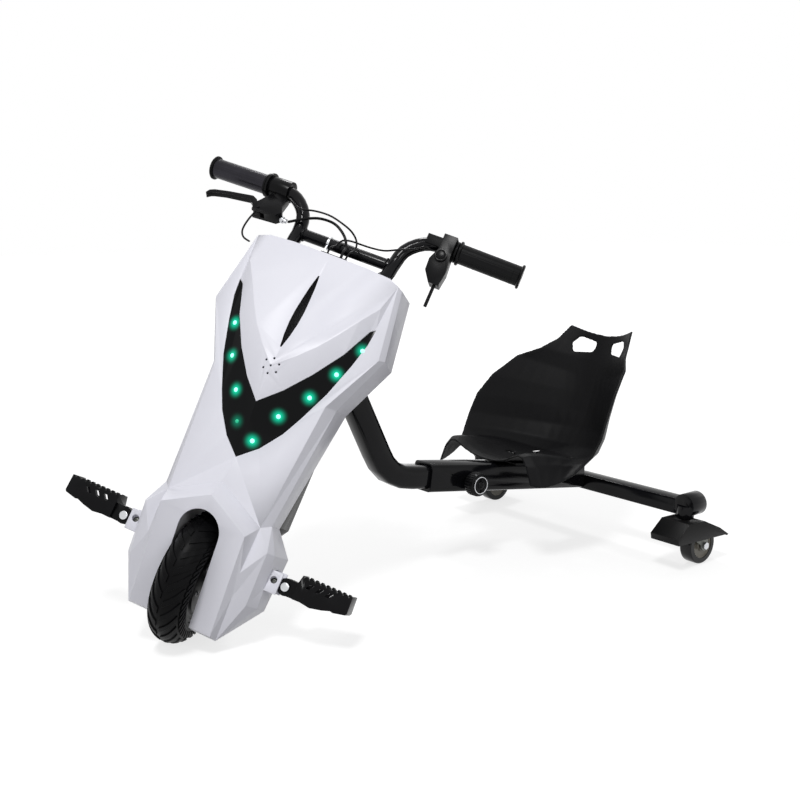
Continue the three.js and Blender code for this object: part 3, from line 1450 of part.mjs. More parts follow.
function seat() {
  const rows = seatRows();
  const columns = 18;
  const grid = rows.map((row) => Array.from({ length: columns + 1 }, (_, i) => seatPoint(row, (2 * i) / columns - 1)));
  const under = grid.map((row, i) =>
    row.map((point, j) => {
      const along = grid[Math.min(i + 1, grid.length - 1)][j].clone().sub(grid[Math.max(i - 1, 0)][j]);
      const across = row[Math.min(j + 1, columns)].clone().sub(row[Math.max(j - 1, 0)]);
      return point.clone().addScaledVector(along.cross(across).normalize(), -seatWall);
    }),
  );
  const triangles = [];
  const quad = (a, b, c, d) => {
    triangles.push([a, b, c].map((point) => point.toArray()), [a, c, d].map((point) => point.toArray()));
  };
  for (let i = 0; i < grid.length - 1; i++) {
    for (let j = 0; j < columns; j++) {
      quad(grid[i][j], grid[i][j + 1], grid[i + 1][j + 1], grid[i + 1][j]);
      quad(under[i][j], under[i + 1][j], under[i + 1][j + 1], under[i][j + 1]);
    }
    quad(grid[i][0], grid[i + 1][0], under[i + 1][0], under[i][0]);
    quad(grid[i][columns], under[i][columns], under[i + 1][columns], grid[i + 1][columns]);
  }
  const end = grid.length - 1;
  for (let j = 0; j < columns; j++) {
    quad(grid[0][j], under[0][j], under[0][j + 1], grid[0][j + 1]);
    quad(grid[end][j], grid[end][j + 1], under[end][j + 1], under[end][j]);
  }
  let shell = closedSolid(triangles);
  for (const side of [1, -1]) {
    const slot = handSlotShares.map(([half, height]) => [side * seatHalf * half, seatHalf * height]);
    shell = shell.subtract(slab(slot, seatHalf * 0.465, "xz", [0, seatHalf * 0.174, 0]));
    for (const front of seatBoltFronts) {
      const bolt = block(seatBoltRoom, [side * seatBoltHalf, -front, railAt(front) + sleeveSide / 2]);
      shell = shell.subtract(bolt);
    }
  }
  add(trike, "seat", shell, rubberBlack);
}

function clampKnob() {
  const start = sleeveSide / 2 + clearance;
  const centre = [0, -knobPlace, railAt(knobPlace) - knobDrop];
  const place = (length, radius, from, sides) => rod(radius, length, "x", [from + length / 2, centre[1], centre[2]], sides);
  const knob = joined([
    place(knobRadius * 0.6, knobRadius * 0.55, start, 20),
    place(knobRadius, knobRadius, start + knobRadius / 2, 24),
    place(wall, knobRadius * 0.82, start + knobRadius * 1.45, 24),
    place(sleeveWall + wall, stemRadius / 2, start - sleeveWall, 12),
  ]);
  const slotCut = block([wall * 1.33, wall, knobRadius * 1.3], [start + knobRadius * 1.55, centre[1], centre[2]]);
  add(trike, "clamp_knob", knob.subtract(slotCut), plasticBlack);
}

function casters() {
  const swivelBack = casterAxleBack - casterTrail;
  const bridgeHeight = casterRadius * 2 + bridgeGap;
  const bridgeTop = bridgeHeight + bridgeThickness;
  for (const [side, name] of [[1, "left"], [-1, "right"]]) {
    const x = (side * casterTrack) / 2;
    const boss = rod(bossRadius, bossLength, "y", [x, swivelBack + bossLength * 0.35, bossHeight], 28);
    const collarBottom = bridgeHeight + bridgeGap * 0.864;
    const neck = rod(collarRadius, bossHeight - collarBottom, "z", [x, swivelBack, (bossHeight + collarBottom) / 2], 24);
    const cut = span(
      [side > 0 ? -crossHalf - overrun : -crossHalf - clearance, -overrun * 3, 0],
      [side > 0 ? crossHalf + clearance : crossHalf + overrun, overrun * 3, bossHeight * 2],
    );
    const stemLength = bossRadius * 1.1;
    const bore = rod(stemRadius + clearance, stemLength + clearance * 2, "z", [x, swivelBack, bridgeTop + stemLength / 2], 20);
    add(trike, "caster_housing_" + name, joined([boss, neck]).subtract(cut).subtract(bore), frameBlack);

    const stem = rod(stemRadius, stemLength, "z", [x, swivelBack, bridgeTop + stemLength / 2 - clearance], 20);
    const bridge = span(
      [x - casterWidth * 0.75, swivelBack - bridgeFront, bridgeHeight],
      [x + casterWidth * 0.75, swivelBack + bridgeBack, bridgeTop],
    );
    const legs = [-1, 1].map((end) => {
      const outline = [
        [swivelBack - bridgeFront, bridgeHeight + bridgeThickness / 2],
        [swivelBack + bridgeBack, bridgeHeight + bridgeThickness / 2],
        [casterAxleBack + bridgeFront * 0.75, casterRadius * 1.629],
        ...arc([casterAxleBack, casterRadius], casterAxleRadius * 2.5, 30, -190, 8),
        [swivelBack - bridgeFront / 6, casterRadius * 1.629],
      ];
      return slab(outline, wall, "yz", [x + end * (casterWidth / 2 + wall * 1.167), 0, 0]);
    });
    const axleBore = rod(casterAxleRadius + clearance, casterWidth * 3, "x", [x, casterAxleBack, casterRadius], 16);
    add(trike, "caster_fork_" + name, joined([stem, bridge, ...legs]).subtract(axleBore), plateGrey);
    const bolt = joined([
      rod(casterAxleRadius, casterWidth + casterAxleRadius * 4, "x", [x, casterAxleBack, casterRadius], 16),
      rod(casterAxleRadius * 1.8, wall * 1.133, "x", [x + casterWidth / 2 + wall * 2.433, casterAxleBack, casterRadius], 6),
      rod(casterAxleRadius * 1.8, wall * 1.133, "x", [x - casterWidth / 2 - wall * 2.433, casterAxleBack, casterRadius], 6),
    ]);
    add(trike, "caster_axle_" + name, bolt, steel);
    add(trike, "caster_wheel_" + name, casterWheel(x), wheelBeige);
    add(trike, "fender_" + name, fender(x, bridgeHeight, swivelBack), plasticBlack);
  }
}

function casterWheel(x) {
  const half = casterWidth / 2;
  const profile = [
    [casterAxleRadius + clearance, -half],
    [casterRadius * 0.314, -half],
    [casterRadius * 0.343, -half + wall],
    [casterRadius * 0.629, -half + wall],
    [casterRadius * 0.686, -half + wall / 3],
    [casterRadius * 0.886, -half + wall / 3],
    [casterRadius, -half + wall * 1.667],
    [casterRadius, half - wall * 1.667],
    [casterRadius * 0.886, half - wall / 3],
    [casterRadius * 0.686, half - wall / 3],
    [casterRadius * 0.629, half - wall],
    [casterRadius * 0.343, half - wall],
    [casterRadius * 0.314, half],
    [casterAxleRadius + clearance, half],
    [casterAxleRadius + clearance, -half],
  ];
  return spun(profile, "x", [x, casterAxleBack, casterRadius], 28);
}

// The faceted guard over a caster: a bent strip with side lips, resting on the fork's bridge
function fender(x, bridgeHeight, swivelBack) {
  const low = bridgeHeight + bridgeThickness + clearance;
  const outer = [
    [-fenderWidth * 1.467, fenderWidth * 0.933],
    [-fenderWidth * 1.5, fenderWidth * 1.117],
    [-fenderWidth, low + wall * 1.33],
    [-fenderWidth * 0.283, low + wall * 0.9],
    [fenderWidth * 0.483, fenderWidth * 1.117],
    [fenderWidth * 0.933, fenderWidth * 0.833],
  ];
  const inner = [
    [fenderWidth * 0.867, fenderWidth * 0.8],
    [fenderWidth * 0.458, fenderWidth * 1.08],
    [-fenderWidth * 0.283, low],
    [-fenderWidth * 0.958, low],
    [-fenderWidth * 1.417, fenderWidth * 0.933],
  ];
  const strip = slab([...outer, ...inner], fenderWidth, "yz", [x, 0, 0]);
  const lips = [-1, 1].map((end) => slab(outer, wall, "yz", [x + (end * (fenderWidth - wall)) / 2, 0, 0]));
  const stemRoom = rod(stemRadius + clearance, overrun * 2, "z", [x, swivelBack, low], 20);
  return joined([strip, ...lips]).subtract(stemRoom);
}

frontWheel();
fork();
handlebar();
grips();
brake();
pod();
cables();
fairing();
innerParts();
shroud();
backCover();
chargePort();
pegs();
headPieces();
mainRail();
rearFrame();
seatPlate();
seat();
clampKnob();
casters();

// The origin sits on the ground under the middle of the whole trike
const part = new THREE.Group();
part.add(trike);
part.updateMatrixWorld(true);
const bounds = new THREE.Box3().setFromObject(trike, true);
const middle = bounds.getCenter(new THREE.Vector3());
trike.position.set(-middle.x, -middle.y, -bounds.min.z);

export default part;
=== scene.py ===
import json
import math

import bmesh
import bpy
from mathutils import Matrix, Vector
from mathutils.bvhtree import BVHTree


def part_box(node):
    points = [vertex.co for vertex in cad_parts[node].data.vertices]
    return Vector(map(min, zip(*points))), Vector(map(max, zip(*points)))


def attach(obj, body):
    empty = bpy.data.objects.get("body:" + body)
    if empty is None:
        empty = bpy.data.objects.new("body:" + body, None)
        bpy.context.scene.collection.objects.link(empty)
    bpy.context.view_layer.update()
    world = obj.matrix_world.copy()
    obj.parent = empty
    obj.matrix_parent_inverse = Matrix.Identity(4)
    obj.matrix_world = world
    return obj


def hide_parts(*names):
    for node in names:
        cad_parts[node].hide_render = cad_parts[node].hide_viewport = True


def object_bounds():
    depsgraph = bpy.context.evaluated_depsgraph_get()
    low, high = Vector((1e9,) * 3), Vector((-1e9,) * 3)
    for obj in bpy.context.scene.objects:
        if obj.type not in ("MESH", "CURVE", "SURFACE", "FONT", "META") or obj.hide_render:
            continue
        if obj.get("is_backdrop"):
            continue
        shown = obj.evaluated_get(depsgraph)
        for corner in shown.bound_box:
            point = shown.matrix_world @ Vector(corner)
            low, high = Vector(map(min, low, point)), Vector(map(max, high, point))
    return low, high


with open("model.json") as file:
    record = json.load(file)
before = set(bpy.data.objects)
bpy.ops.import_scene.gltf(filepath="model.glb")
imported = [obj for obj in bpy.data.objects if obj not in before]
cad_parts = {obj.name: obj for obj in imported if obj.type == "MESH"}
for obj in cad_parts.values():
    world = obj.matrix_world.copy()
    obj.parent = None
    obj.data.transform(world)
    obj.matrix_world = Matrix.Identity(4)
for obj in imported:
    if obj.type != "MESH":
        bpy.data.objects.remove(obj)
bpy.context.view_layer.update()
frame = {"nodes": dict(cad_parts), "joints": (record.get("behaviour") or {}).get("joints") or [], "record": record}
mm = 0.001
touching = 1e-6  # points this close, in metres, are one
bodyOf = {node: body for body, members in frame["record"]["behaviour"]["bodies"].items() for node in members}
slotOf = {row["node"]: row["material_slot"] for row in frame["record"]["subparts"]}
joints = {joint["name"]: joint for joint in frame["joints"]}
print("frame loaded:", len(frame["nodes"]), "nodes")


# The steered pieces are placed in a frame of their own: X along the wheel's axle, Z up the steering axis
def steeringFrame():
    up = Vector(joints["steering_turn"]["axis"]).normalized()
    across = Vector(joints["front_wheel_spin"]["axis"])
    across = (across - up * across.dot(up)).normalized()
    back = up.cross(across)
    onAxis = Vector(joints["steering_turn"]["pos_m"])
    foot = onAxis - up * (onAxis.z / up.z)
    turn = Matrix((across, back, up)).transposed().to_4x4()
    return Matrix.Translation(foot) @ turn


steered = steeringFrame()


# A shader node; a setting that is none of its properties goes to the input of that name
def nodeIn(tree, kind, place, **settings):
    node = tree.nodes.new(kind)
    node.location = place
    for name, value in settings.items():
        if hasattr(node, name):
            setattr(node, name, value)
        else:
            node.inputs[name.replace("_", " ")].default_value = value
    return node


def blankMaterial(name):
    material = bpy.data.materials.new(name)
    material.use_nodes = True
    tree = material.node_tree
    shader = tree.nodes["Principled BSDF"]
    return material, tree, shader


# What every surface shares: where the mottling is dark and light, which edges wear, and the grain's height
skin = dict(darkAt=0.3, lightAt=0.7, wearFrom=0.53, wearTo=0.60, grainHeight=0.0004, coatRoughness=0.08,
            leastRoughness=0.02)


# A moulded, painted or rolled surface: mottled colour, uneven gloss and a fine grain
def surface(name, colour, roughness, metallic=0.0, coat=0.0, specular=0.5, mottle=0.08, grain=900.0,
            grainDepth=0.05, roughSpread=0.08, patch=14.0, edgeWear=0.0, wearColour=(0.5, 0.5, 0.5)):
    material, tree, shader = blankMaterial(name)
    link = tree.links.new
    where = nodeIn(tree, "ShaderNodeTexCoord", (-1100, 0))
    broad = nodeIn(tree, "ShaderNodeTexNoise", (-900, 200), Scale=patch, Detail=5.0, Roughness=0.6)
    fine = nodeIn(tree, "ShaderNodeTexNoise", (-900, -200), Scale=grain, Detail=3.0, Roughness=0.55)
    link(where.outputs["Object"], broad.inputs["Vector"])
    link(where.outputs["Object"], fine.inputs["Vector"])
    tones = nodeIn(tree, "ShaderNodeValToRGB", (-700, 200))
    dark = [max(0.0, c * (1 - mottle)) for c in colour]
    light = [min(1.0, c * (1 + mottle)) for c in colour]
    tones.color_ramp.elements[0].position = skin["darkAt"]
    tones.color_ramp.elements[0].color = (*dark, 1)
    tones.color_ramp.elements[1].position = skin["lightAt"]
    tones.color_ramp.elements[1].color = (*light, 1)
    link(broad.outputs["Fac"], tones.inputs["Fac"])
    base = tones.outputs["Color"]
    if edgeWear:
        worn = nodeIn(tree, "ShaderNodeNewGeometry", (-900, 480))
        rim = nodeIn(tree, "ShaderNodeMapRange", (-700, 480), From_Min=skin["wearFrom"],
                     From_Max=skin["wearTo"], To_Max=edgeWear)
        link(worn.outputs["Pointiness"], rim.inputs["Value"])
        rub = nodeIn(tree, "ShaderNodeMath", (-520, 480), operation="MULTIPLY")
        link(rim.outputs["Result"], rub.inputs[0])
        link(broad.outputs["Fac"], rub.inputs[1])
        mix = nodeIn(tree, "ShaderNodeMix", (-340, 300), data_type="RGBA")
        link(rub.outputs["Value"], mix.inputs[0])
        link(base, mix.inputs[6])
        mix.inputs[7].default_value = (*wearColour, 1)
        base = mix.outputs[2]
    link(base, shader.inputs["Base Color"])
    gloss = nodeIn(tree, "ShaderNodeMapRange", (-500, -60),
                   To_Min=max(skin["leastRoughness"], roughness - roughSpread),
                   To_Max=min(1.0, roughness + roughSpread))
    link(broad.outputs["Fac"], gloss.inputs["Value"])
    link(gloss.outputs["Result"], shader.inputs["Roughness"])
    bump = nodeIn(tree, "ShaderNodeBump", (-300, -260), Strength=grainDepth, Distance=skin["grainHeight"])
    link(fine.outputs["Fac"], bump.inputs["Height"])
    link(bump.outputs["Normal"], shader.inputs["Normal"])
    shader.inputs["Metallic"].default_value = metallic
    shader.inputs["Specular IOR Level"].default_value = specular
    shader.inputs["Coat Weight"].default_value = coat
    shader.inputs["Coat Roughness"].default_value = skin["coatRoughness"]
    return material


looks = dict(
    whiteShell=dict(colour=(0.79, 0.79, 0.86), roughness=0.36, specular=0.3, mottle=0.015, grain=500,
                    grainDepth=0.03, roughSpread=0.05, patch=9),
    # the inside of the white shell made grey: painted shade, not a colour of its own
    innerGrey=dict(colour=(0.5, 0.5, 0.52), roughness=0.5, specular=0.2, mottle=0.06, grain=500,
                   grainDepth=0.1),
    frameBlack=dict(colour=(0.004, 0.004, 0.005), roughness=0.15, specular=0.15, mottle=0.2, grain=350,
                    grainDepth=0.05, edgeWear=0.2, wearColour=(0.03, 0.03, 0.034)),
    seatBlack=dict(colour=(0.0055, 0.0055, 0.0061), roughness=0.48, specular=0.09, mottle=0.12, grain=1300,
                   grainDepth=0.3, patch=22, edgeWear=0.2, wearColour=(0.02, 0.02, 0.022)),
    plasticBlack=dict(colour=(0.004, 0.004, 0.0046), roughness=0.26, specular=0.1, mottle=0.2, grain=1300,
                      grainDepth=0.07, edgeWear=0.25, wearColour=(0.02, 0.02, 0.022)),
    fenderBlack=dict(colour=(0.006, 0.006, 0.0063), roughness=0.36, specular=0.12, mottle=0.15, grain=1200,
                     grainDepth=0.25, edgeWear=0.2, wearColour=(0.03, 0.03, 0.03)),
    rubberBlack=dict(colour=(0.004, 0.004, 0.0045), roughness=0.27, specular=0.1, mottle=0.25, grain=1100,
                     grainDepth=0.1, edgeWear=0.25, wearColour=(0.02, 0.02, 0.021)),
    tyreRubber=dict(colour=(0.003, 0.003, 0.0034), roughness=0.38, specular=0.07, mottle=0.3, grain=700,
                    grainDepth=0.35, patch=35, edgeWear=0.2, wearColour=(0.012, 0.012, 0.013)),
    gripGrey=dict(colour=(0.024, 0.023, 0.028), roughness=0.26, metallic=0.9, mottle=0.25, grain=500,
                  grainDepth=0.08),
    inlayBlack=dict(colour=(0.003, 0.003, 0.0036), roughness=0.1, specular=0.03, mottle=0.1, grain=250,
                    grainDepth=0.015, roughSpread=0.03),
    brightSteel=dict(colour=(0.6, 0.61, 0.63), roughness=0.24, metallic=1.0, mottle=0.12, grain=700,
                     grainDepth=0.12, roughSpread=0.1, edgeWear=0.3, wearColour=(0.8, 0.8, 0.8)),
    zincPlate=dict(colour=(0.16, 0.165, 0.15), roughness=0.42, metallic=0.6, specular=0.3, mottle=0.2,
                   grain=600, grainDepth=0.15, patch=40),
    hubBlack=dict(colour=(0.006, 0.006, 0.0065), roughness=0.4, specular=0.2, mottle=0.2, grain=500,
                  grainDepth=0.2, edgeWear=0.3, wearColour=(0.04, 0.04, 0.042)),
    castAlloy=dict(colour=(0.4, 0.405, 0.415), roughness=0.42, metallic=0.9, mottle=0.12, grain=420,
                   grainDepth=0.3),
    rollerDark=dict(colour=(0.006, 0.006, 0.0065), roughness=0.14, specular=0.25, mottle=0.15, grain=400,
                    grainDepth=0.04),
    rollerCore=dict(colour=(0.17, 0.155, 0.125), roughness=0.3, specular=0.4, mottle=0.15, grain=400,
                    grainDepth=0.06),
    batteryBlue=dict(colour=(0.02, 0.06, 0.22), roughness=0.35, coat=0.2, mottle=0.1, grain=120,
                     grainDepth=0.4),
    boardGreen=dict(colour=(0.01, 0.2, 0.1), roughness=0.4, mottle=0.15, grain=900, grainDepth=0.2),
    # near black for the inside of a hole: painted shade
    holeBlack=dict(colour=(0.004, 0.004, 0.004), roughness=0.6, specular=0.1, mottle=0.1, grain=600,
                   grainDepth=0.1),
)
finishes = {name: surface(name, **look) for name, look in looks.items()}
slotFinish = {
    "tyre_rubber": "tyreRubber", "cast_alloy": "castAlloy", "bright_steel": "brightSteel",
    "frame_paint": "frameBlack", "soft_rubber": "rubberBlack", "grip_grey": "gripGrey",
    "black_plastic": "plasticBlack", "white_shell": "whiteShell", "lens_black": "inlayBlack",
    "light_green": "boardGreen", "battery_wrap": "batteryBlue", "seat_plastic": "seatBlack",
    "zinc_plate": "zincPlate", "wheel_core": "rollerCore",
}
print("materials made:", len(finishes))


# A finished piece: its finish and the body it rides
def placed(name, mesh, body, finishName, smooth=30.0):
    for polygon in mesh.polygons:
        polygon.use_smooth = True
    if smooth < 180:
        mesh.set_sharp_from_angle(angle=math.radians(smooth))
    mesh.materials.clear()
    mesh.materials.append(finishes[finishName])
    piece = bpy.data.objects.new(name, mesh)
    bpy.context.scene.collection.objects.link(piece)
    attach(piece, body)
    return piece


def asMesh(bm, name):
    mesh = bpy.data.meshes.new(name)
    bm.to_mesh(mesh)
    bm.free()
    return mesh


# The mesh of a new shape, put in its place, merged and with its faces outwards
def meshFrom(bm, name, matrix=None):
    if matrix is not None:
        bm.transform(matrix)
    bmesh.ops.remove_doubles(bm, verts=bm.verts, dist=touching)
    bmesh.ops.recalc_face_normals(bm, faces=bm.faces)
    return asMesh(bm, name)


# What an object's curve or modifiers come to, as a mesh of its own
def finalMesh(holder, name):
    bpy.context.scene.collection.objects.link(holder)
    bpy.context.view_layer.update()
    mesh = bpy.data.meshes.new_from_object(holder.evaluated_get(bpy.context.evaluated_depsgraph_get()))
    bpy.data.objects.remove(holder)
    mesh.name = name
    return mesh


# A CAD node's shape to work on, its loose triangles merged
def nodeShape(node, weldGap=0.02):
    bm = bmesh.new()
    bm.from_mesh(frame["nodes"][node].data)
    bmesh.ops.remove_doubles(bm, verts=bm.verts, dist=weldGap * mm)
    return bm


def bevelled(piece, width, angle=25.0, segments=2):
    rounding = piece.modifiers.new("rounded", "BEVEL")
    rounding.width = width * mm
    rounding.segments = segments
    rounding.limit_method = "ANGLE"
    rounding.angle_limit = math.radians(angle)
    rounding.use_clamp_overlap = True
    rounding.harden_normals = True
    rounding.miter_outer = "MITER_ARC"
    return piece


# A CAD node's own shape with its edges rounded, in place of the node. Faces within the angle flat are one,
# and edges past the angle soft stay sharp
def refined(node, finishName=None, width=0.8, angle=25.0, segments=2, flat=1.5, weldGap=0.02, soft=180.0):
    bm = nodeShape(node, weldGap)
    bmesh.ops.dissolve_degenerate(bm, edges=bm.edges, dist=weldGap * mm)
    if flat:
        bmesh.ops.dissolve_limit(bm, angle_limit=math.radians(flat), verts=bm.verts, edges=bm.edges,
                                 use_dissolve_boundaries=False)
    piece = placed("shaped_" + node, asMesh(bm, node), bodyOf[node],
                   finishName or slotFinish[slotOf[node]], smooth=soft)
    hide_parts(node)
    if width:
        bevelled(piece, width, angle, segments)
    return piece


# A profile of (radius, height) in mm spun about Z, closed on the axis or on itself
def turned(profile, steps, closed=False):
    bm = bmesh.new()
    corners = [bm.verts.new((radius * mm, 0, height * mm)) for radius, height in profile]
    edges = [bm.edges.new(pair) for pair in zip(corners, corners[1:])]
    if closed:
        edges.append(bm.edges.new((corners[-1], corners[0])))
    bmesh.ops.spin(bm, geom=corners + edges, cent=(0, 0, 0), axis=(0, 0, 1), angle=math.tau, steps=steps,
                   use_merge=True, use_duplicate=False)
    bmesh.ops.remove_doubles(bm, verts=bm.verts, dist=touching)
    return bm


# The matrix that takes Z to a direction at a point, both in metres
def aimed(point, direction):
    turn = Vector(direction).normalized().to_track_quat("Z", "Y").to_matrix().to_4x4()
    return Matrix.Translation(point) @ turn


def steeredPoint(x, y, z):
    return steered @ Vector((x * mm, y * mm, z * mm))


def steeredWay(x, y, z):
    return (steered.to_3x3() @ Vector((x, y, z))).normalized()


# A button head screw with a round socket, its flat side at the point; shares of its radius and rise
screwHead = dict(profile=[(0, -0.3), (0.8, -0.3), (1, 0), (1, 0.35), (0.82, 0.85), (0.6, 1), (0, 1)],
                 sides=20, topFrom=0.95, rim=0.2, socketFrom=0.97, socketRadius=0.42, socketDepth=0.45)


def screw(name, point, direction, radius, body, finishName="brightSteel",
          height=0.6):
    rise = radius * height
    bm = turned([(radius * out, rise * up) for out, up in screwHead["profile"]], screwHead["sides"])
    top = [face for face in bm.faces if face.calc_center_median().z > rise * screwHead["topFrom"] * mm]
    bmesh.ops.inset_region(bm, faces=top, thickness=radius * screwHead["rim"] * mm, use_even_offset=True)
    socket = [face for face in bm.faces if face.calc_center_median().z > rise * screwHead["socketFrom"] * mm
              and face.calc_center_median().xy.length < radius * screwHead["socketRadius"] * mm]
    sunk = {vert for face in socket for vert in face.verts}
    bmesh.ops.translate(bm, verts=list(sunk), vec=(0, 0, -rise * screwHead["socketDepth"] * mm))
    return placed(name, meshFrom(bm, name, aimed(point, direction)), body, finishName)


# The camera stands where the photograph's did; the lamps are soft and the backdrop is white only to the eye
photoView = dict(place=(1.3438, -1.0392, 0.628), azimuth=52.28, dip=10.39, roll=-0.45, lens=46.05,
                 sensor=36.0, farClip=100.0)
studio = dict(floorSize=30.0, floorDrop=0.0005, floorTone=0.4, floorRoughness=0.9, nearLift=0.74,
              liftNear=1.0, liftFar=2.6, skyForLight=0.37, lampsAim=(0.0, 0.0, 0.3))
lamps = dict(keyLight=dict(place=(1.3, -1.5, 3.05), size=0.6, power=55.0),
             fillLight=dict(place=(2.9, -0.2, 1.5), size=0.6, power=9.0),
             backLight=dict(place=(-1.4, 1.2, 2.8), size=0.5, power=22.0))


def addCamera():
    azimuth = math.radians(photoView["azimuth"])
    dip = math.radians(photoView["dip"])
    roll = math.radians(photoView["roll"])
    right = Vector((math.cos(azimuth), math.sin(azimuth), 0))
    up = Vector((-math.sin(azimuth) * math.sin(dip), math.cos(azimuth) * math.sin(dip), math.cos(dip)))
    back = right.cross(up)
    turnedRight = right * math.cos(roll) + up * math.sin(roll)
    turnedUp = up * math.cos(roll) - right * math.sin(roll)
    camera = bpy.data.objects.new("camera", bpy.data.cameras.new("camera"))
    camera.data.lens = photoView["lens"]
    camera.data.sensor_width = photoView["sensor"]
    camera.data.clip_end = photoView["farClip"]
    turn = Matrix((turnedRight, turnedUp, back)).transposed().to_4x4()
    camera.matrix_world = Matrix.Translation(photoView["place"]) @ turn
    bpy.context.scene.collection.objects.link(camera)
    bpy.context.scene.camera = camera


def addFloor():
    bm = bmesh.new()
    bmesh.ops.create_grid(bm, x_segments=2, y_segments=2, size=studio["floorSize"] / 2)
    mesh = asMesh(bm, "floor")
    floor = bpy.data.objects.new("floor", mesh)
    floor.location.z = -studio["floorDrop"]
    bpy.context.scene.collection.objects.link(floor)
    material, tree, shader = blankMaterial("floorPale")
    tone = studio["floorTone"]
    shader.inputs["Base Color"].default_value = (tone, tone, tone, 1)
    shader.inputs["Roughness"].default_value = studio["floorRoughness"]
    shader.inputs["Specular IOR Level"].default_value = 0.0
    where = nodeIn(tree, "ShaderNodeTexCoord", (-900, 0))
    away = nodeIn(tree, "ShaderNodeVectorMath", (-720, 0), operation="LENGTH")
    tree.links.new(where.outputs["Object"], away.inputs[0])
    lift = nodeIn(tree, "ShaderNodeMapRange", (-540, 0), From_Min=studio["liftNear"],
                  From_Max=studio["liftFar"], To_Min=studio["nearLift"], To_Max=1.0)
    tree.links.new(away.outputs["Value"], lift.inputs["Value"])
    strength = nodeIn(tree, "ShaderNodeMath", (-360, 0), operation="MULTIPLY")
    tree.links.new(lift.outputs["Result"], strength.inputs[0])
    tree.links.new(seenRays(tree, (-720, -300)), strength.inputs[1])
    glow = nodeIn(tree, "ShaderNodeEmission", (-180, 0))
    tree.links.new(strength.outputs["Value"], glow.inputs["Strength"])
    both = nodeIn(tree, "ShaderNodeAddShader", (200, 0))
    tree.links.new(shader.outputs["BSDF"], both.inputs[0])
    tree.links.new(glow.outputs["Emission"], both.inputs[1])
    tree.links.new(both.outputs["Shader"], tree.nodes["Material Output"].inputs["Surface"])
    mesh.materials.append(material)
    floor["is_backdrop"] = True


# One where the eye, a mirror or a glass looks, zero where the surface only lights the object
def seenRays(tree, place):
    rays = nodeIn(tree, "ShaderNodeLightPath", place)
    first = nodeIn(tree, "ShaderNodeMath", (place[0] + 180, place[1]), operation="MAXIMUM")
    tree.links.new(rays.outputs["Is Camera Ray"], first.inputs[0])
    tree.links.new(rays.outputs["Is Glossy Ray"], first.inputs[1])
    second = nodeIn(tree, "ShaderNodeMath", (place[0] + 360, place[1]), operation="MAXIMUM")
    tree.links.new(first.outputs["Value"], second.inputs[0])
    tree.links.new(rays.outputs["Is Transmission Ray"], second.inputs[1])
    return second.outputs["Value"]


def addLights():
    for name, settings in lamps.items():
        lamp = bpy.data.lights.new(name, "AREA")
        lamp.energy = settings["power"]
        lamp.size = settings["size"]
        holder = bpy.data.objects.new(name, lamp)
        holder.location = settings["place"]
        away = Vector(studio["lampsAim"]) - Vector(settings["place"])
        holder.rotation_euler = away.to_track_quat("-Z", "Y").to_euler()
        bpy.context.scene.collection.objects.link(holder)
    world = bpy.data.worlds.new("studio")
    bpy.context.scene.world = world
    world.use_nodes = True
    tree = world.node_tree
    back = tree.nodes["Background"]
    level = nodeIn(tree, "ShaderNodeMapRange", (-200, 0), To_Min=studio["skyForLight"], To_Max=1.0)
    tree.links.new(seenRays(tree, (-800, 0)), level.inputs["Value"])
    tree.links.new(level.outputs["Result"], back.inputs["Strength"])
    back.inputs["Color"].default_value = (1, 1, 1, 1)
    bpy.context.scene.view_settings.view_transform = "Standard"


addCamera()
addFloor()
addLights()
print("camera, floor and lights ready")


# Where a line from a point along a direction first meets a CAD node, and how that face looks out
def landing(node, start, direction):
    bm = bmesh.new()
    bm.from_mesh(frame["nodes"][node].data)
    tree = BVHTree.FromBMesh(bm)
    bm.free()
    place, normal, _, _ = tree.ray_cast(Vector(start), Vector(direction).normalized())
    if place is None:
        raise ValueError("no surface of " + node + " in that direction")
    return place, normal


# A screw laid on a node where a line meets it
def screwOn(name, node, start, direction, radius, finishName="brightSteel"):
    place, normal = landing(node, start, direction)
    return screw(name, place, normal, radius, bodyOf[node], finishName)


# A flat ring with eased edges about a direction at a point; the easing is a share of its thinner side
ringEase = 0.3


def ring(name, point, direction, inner, outer, height, body, finishName, sink=0.3, steps=40):
    ease = min(height, outer - inner) * ringEase
    bm = turned([(inner, -sink), (outer, -sink), (outer, height - ease), (outer - ease, height),
                 (inner + ease, height), (inner, height - ease)], steps, closed=True)
    return placed(name, meshFrom(bm, name, aimed(point, direction)), body, finishName)


# A wavy bead of weld round a closed run of points in metres
bead = dict(step=1.0, roundness=2, swell=0.22, wave=2.1)


def weld(name, points, radius, body):
    curve = bpy.data.curves.new(name, "CURVE")
    curve.dimensions = "3D"
    curve.bevel_depth = radius * mm
    curve.bevel_resolution = bead["roundness"]
    curve.use_fill_caps = True
    spline = curve.splines.new("POLY")
    dense = []
    for start, end in zip(points, points[1:] + points[:1]):
        steps = max(1, round((end - start).length / (bead["step"] * mm)))
        dense += [start.lerp(end, step / steps) for step in range(steps)]
    spline.points.add(len(dense) - 1)
    for number, (knot, point) in enumerate(zip(spline.points, dense)):
        knot.co = (*point, 1)
        knot.radius = 1.0 + bead["swell"] * math.sin(number * bead["wave"])
    spline.use_cyclic_u = True
    mesh = finalMesh(bpy.data.objects.new(name + "Line", curve), name)
    return placed(name, mesh, body, "frameBlack", smooth=180)


# Points in metres on a circle about a direction, its radius in mm
def circlePoints(centre, direction, radius, count=36):
    turn = aimed(centre, direction)
    angles = [math.tau * i / count for i in range(count)]
    return [turn @ Vector((radius * mm * math.cos(a), radius * mm * math.sin(a), 0)) for a in angles]


shellEdges = dict(width=1.5, angle=9.0, segments=3, flat=0.4, weldGap=0.06)
coverEdges = dict(width=1.4, angle=14, segments=2, flat=0.6)
for shellNode in ("front_fairing", "wheel_shroud"):
    refined(shellNode, **shellEdges)
refined("back_cover", **coverEdges)
print("shells rounded")

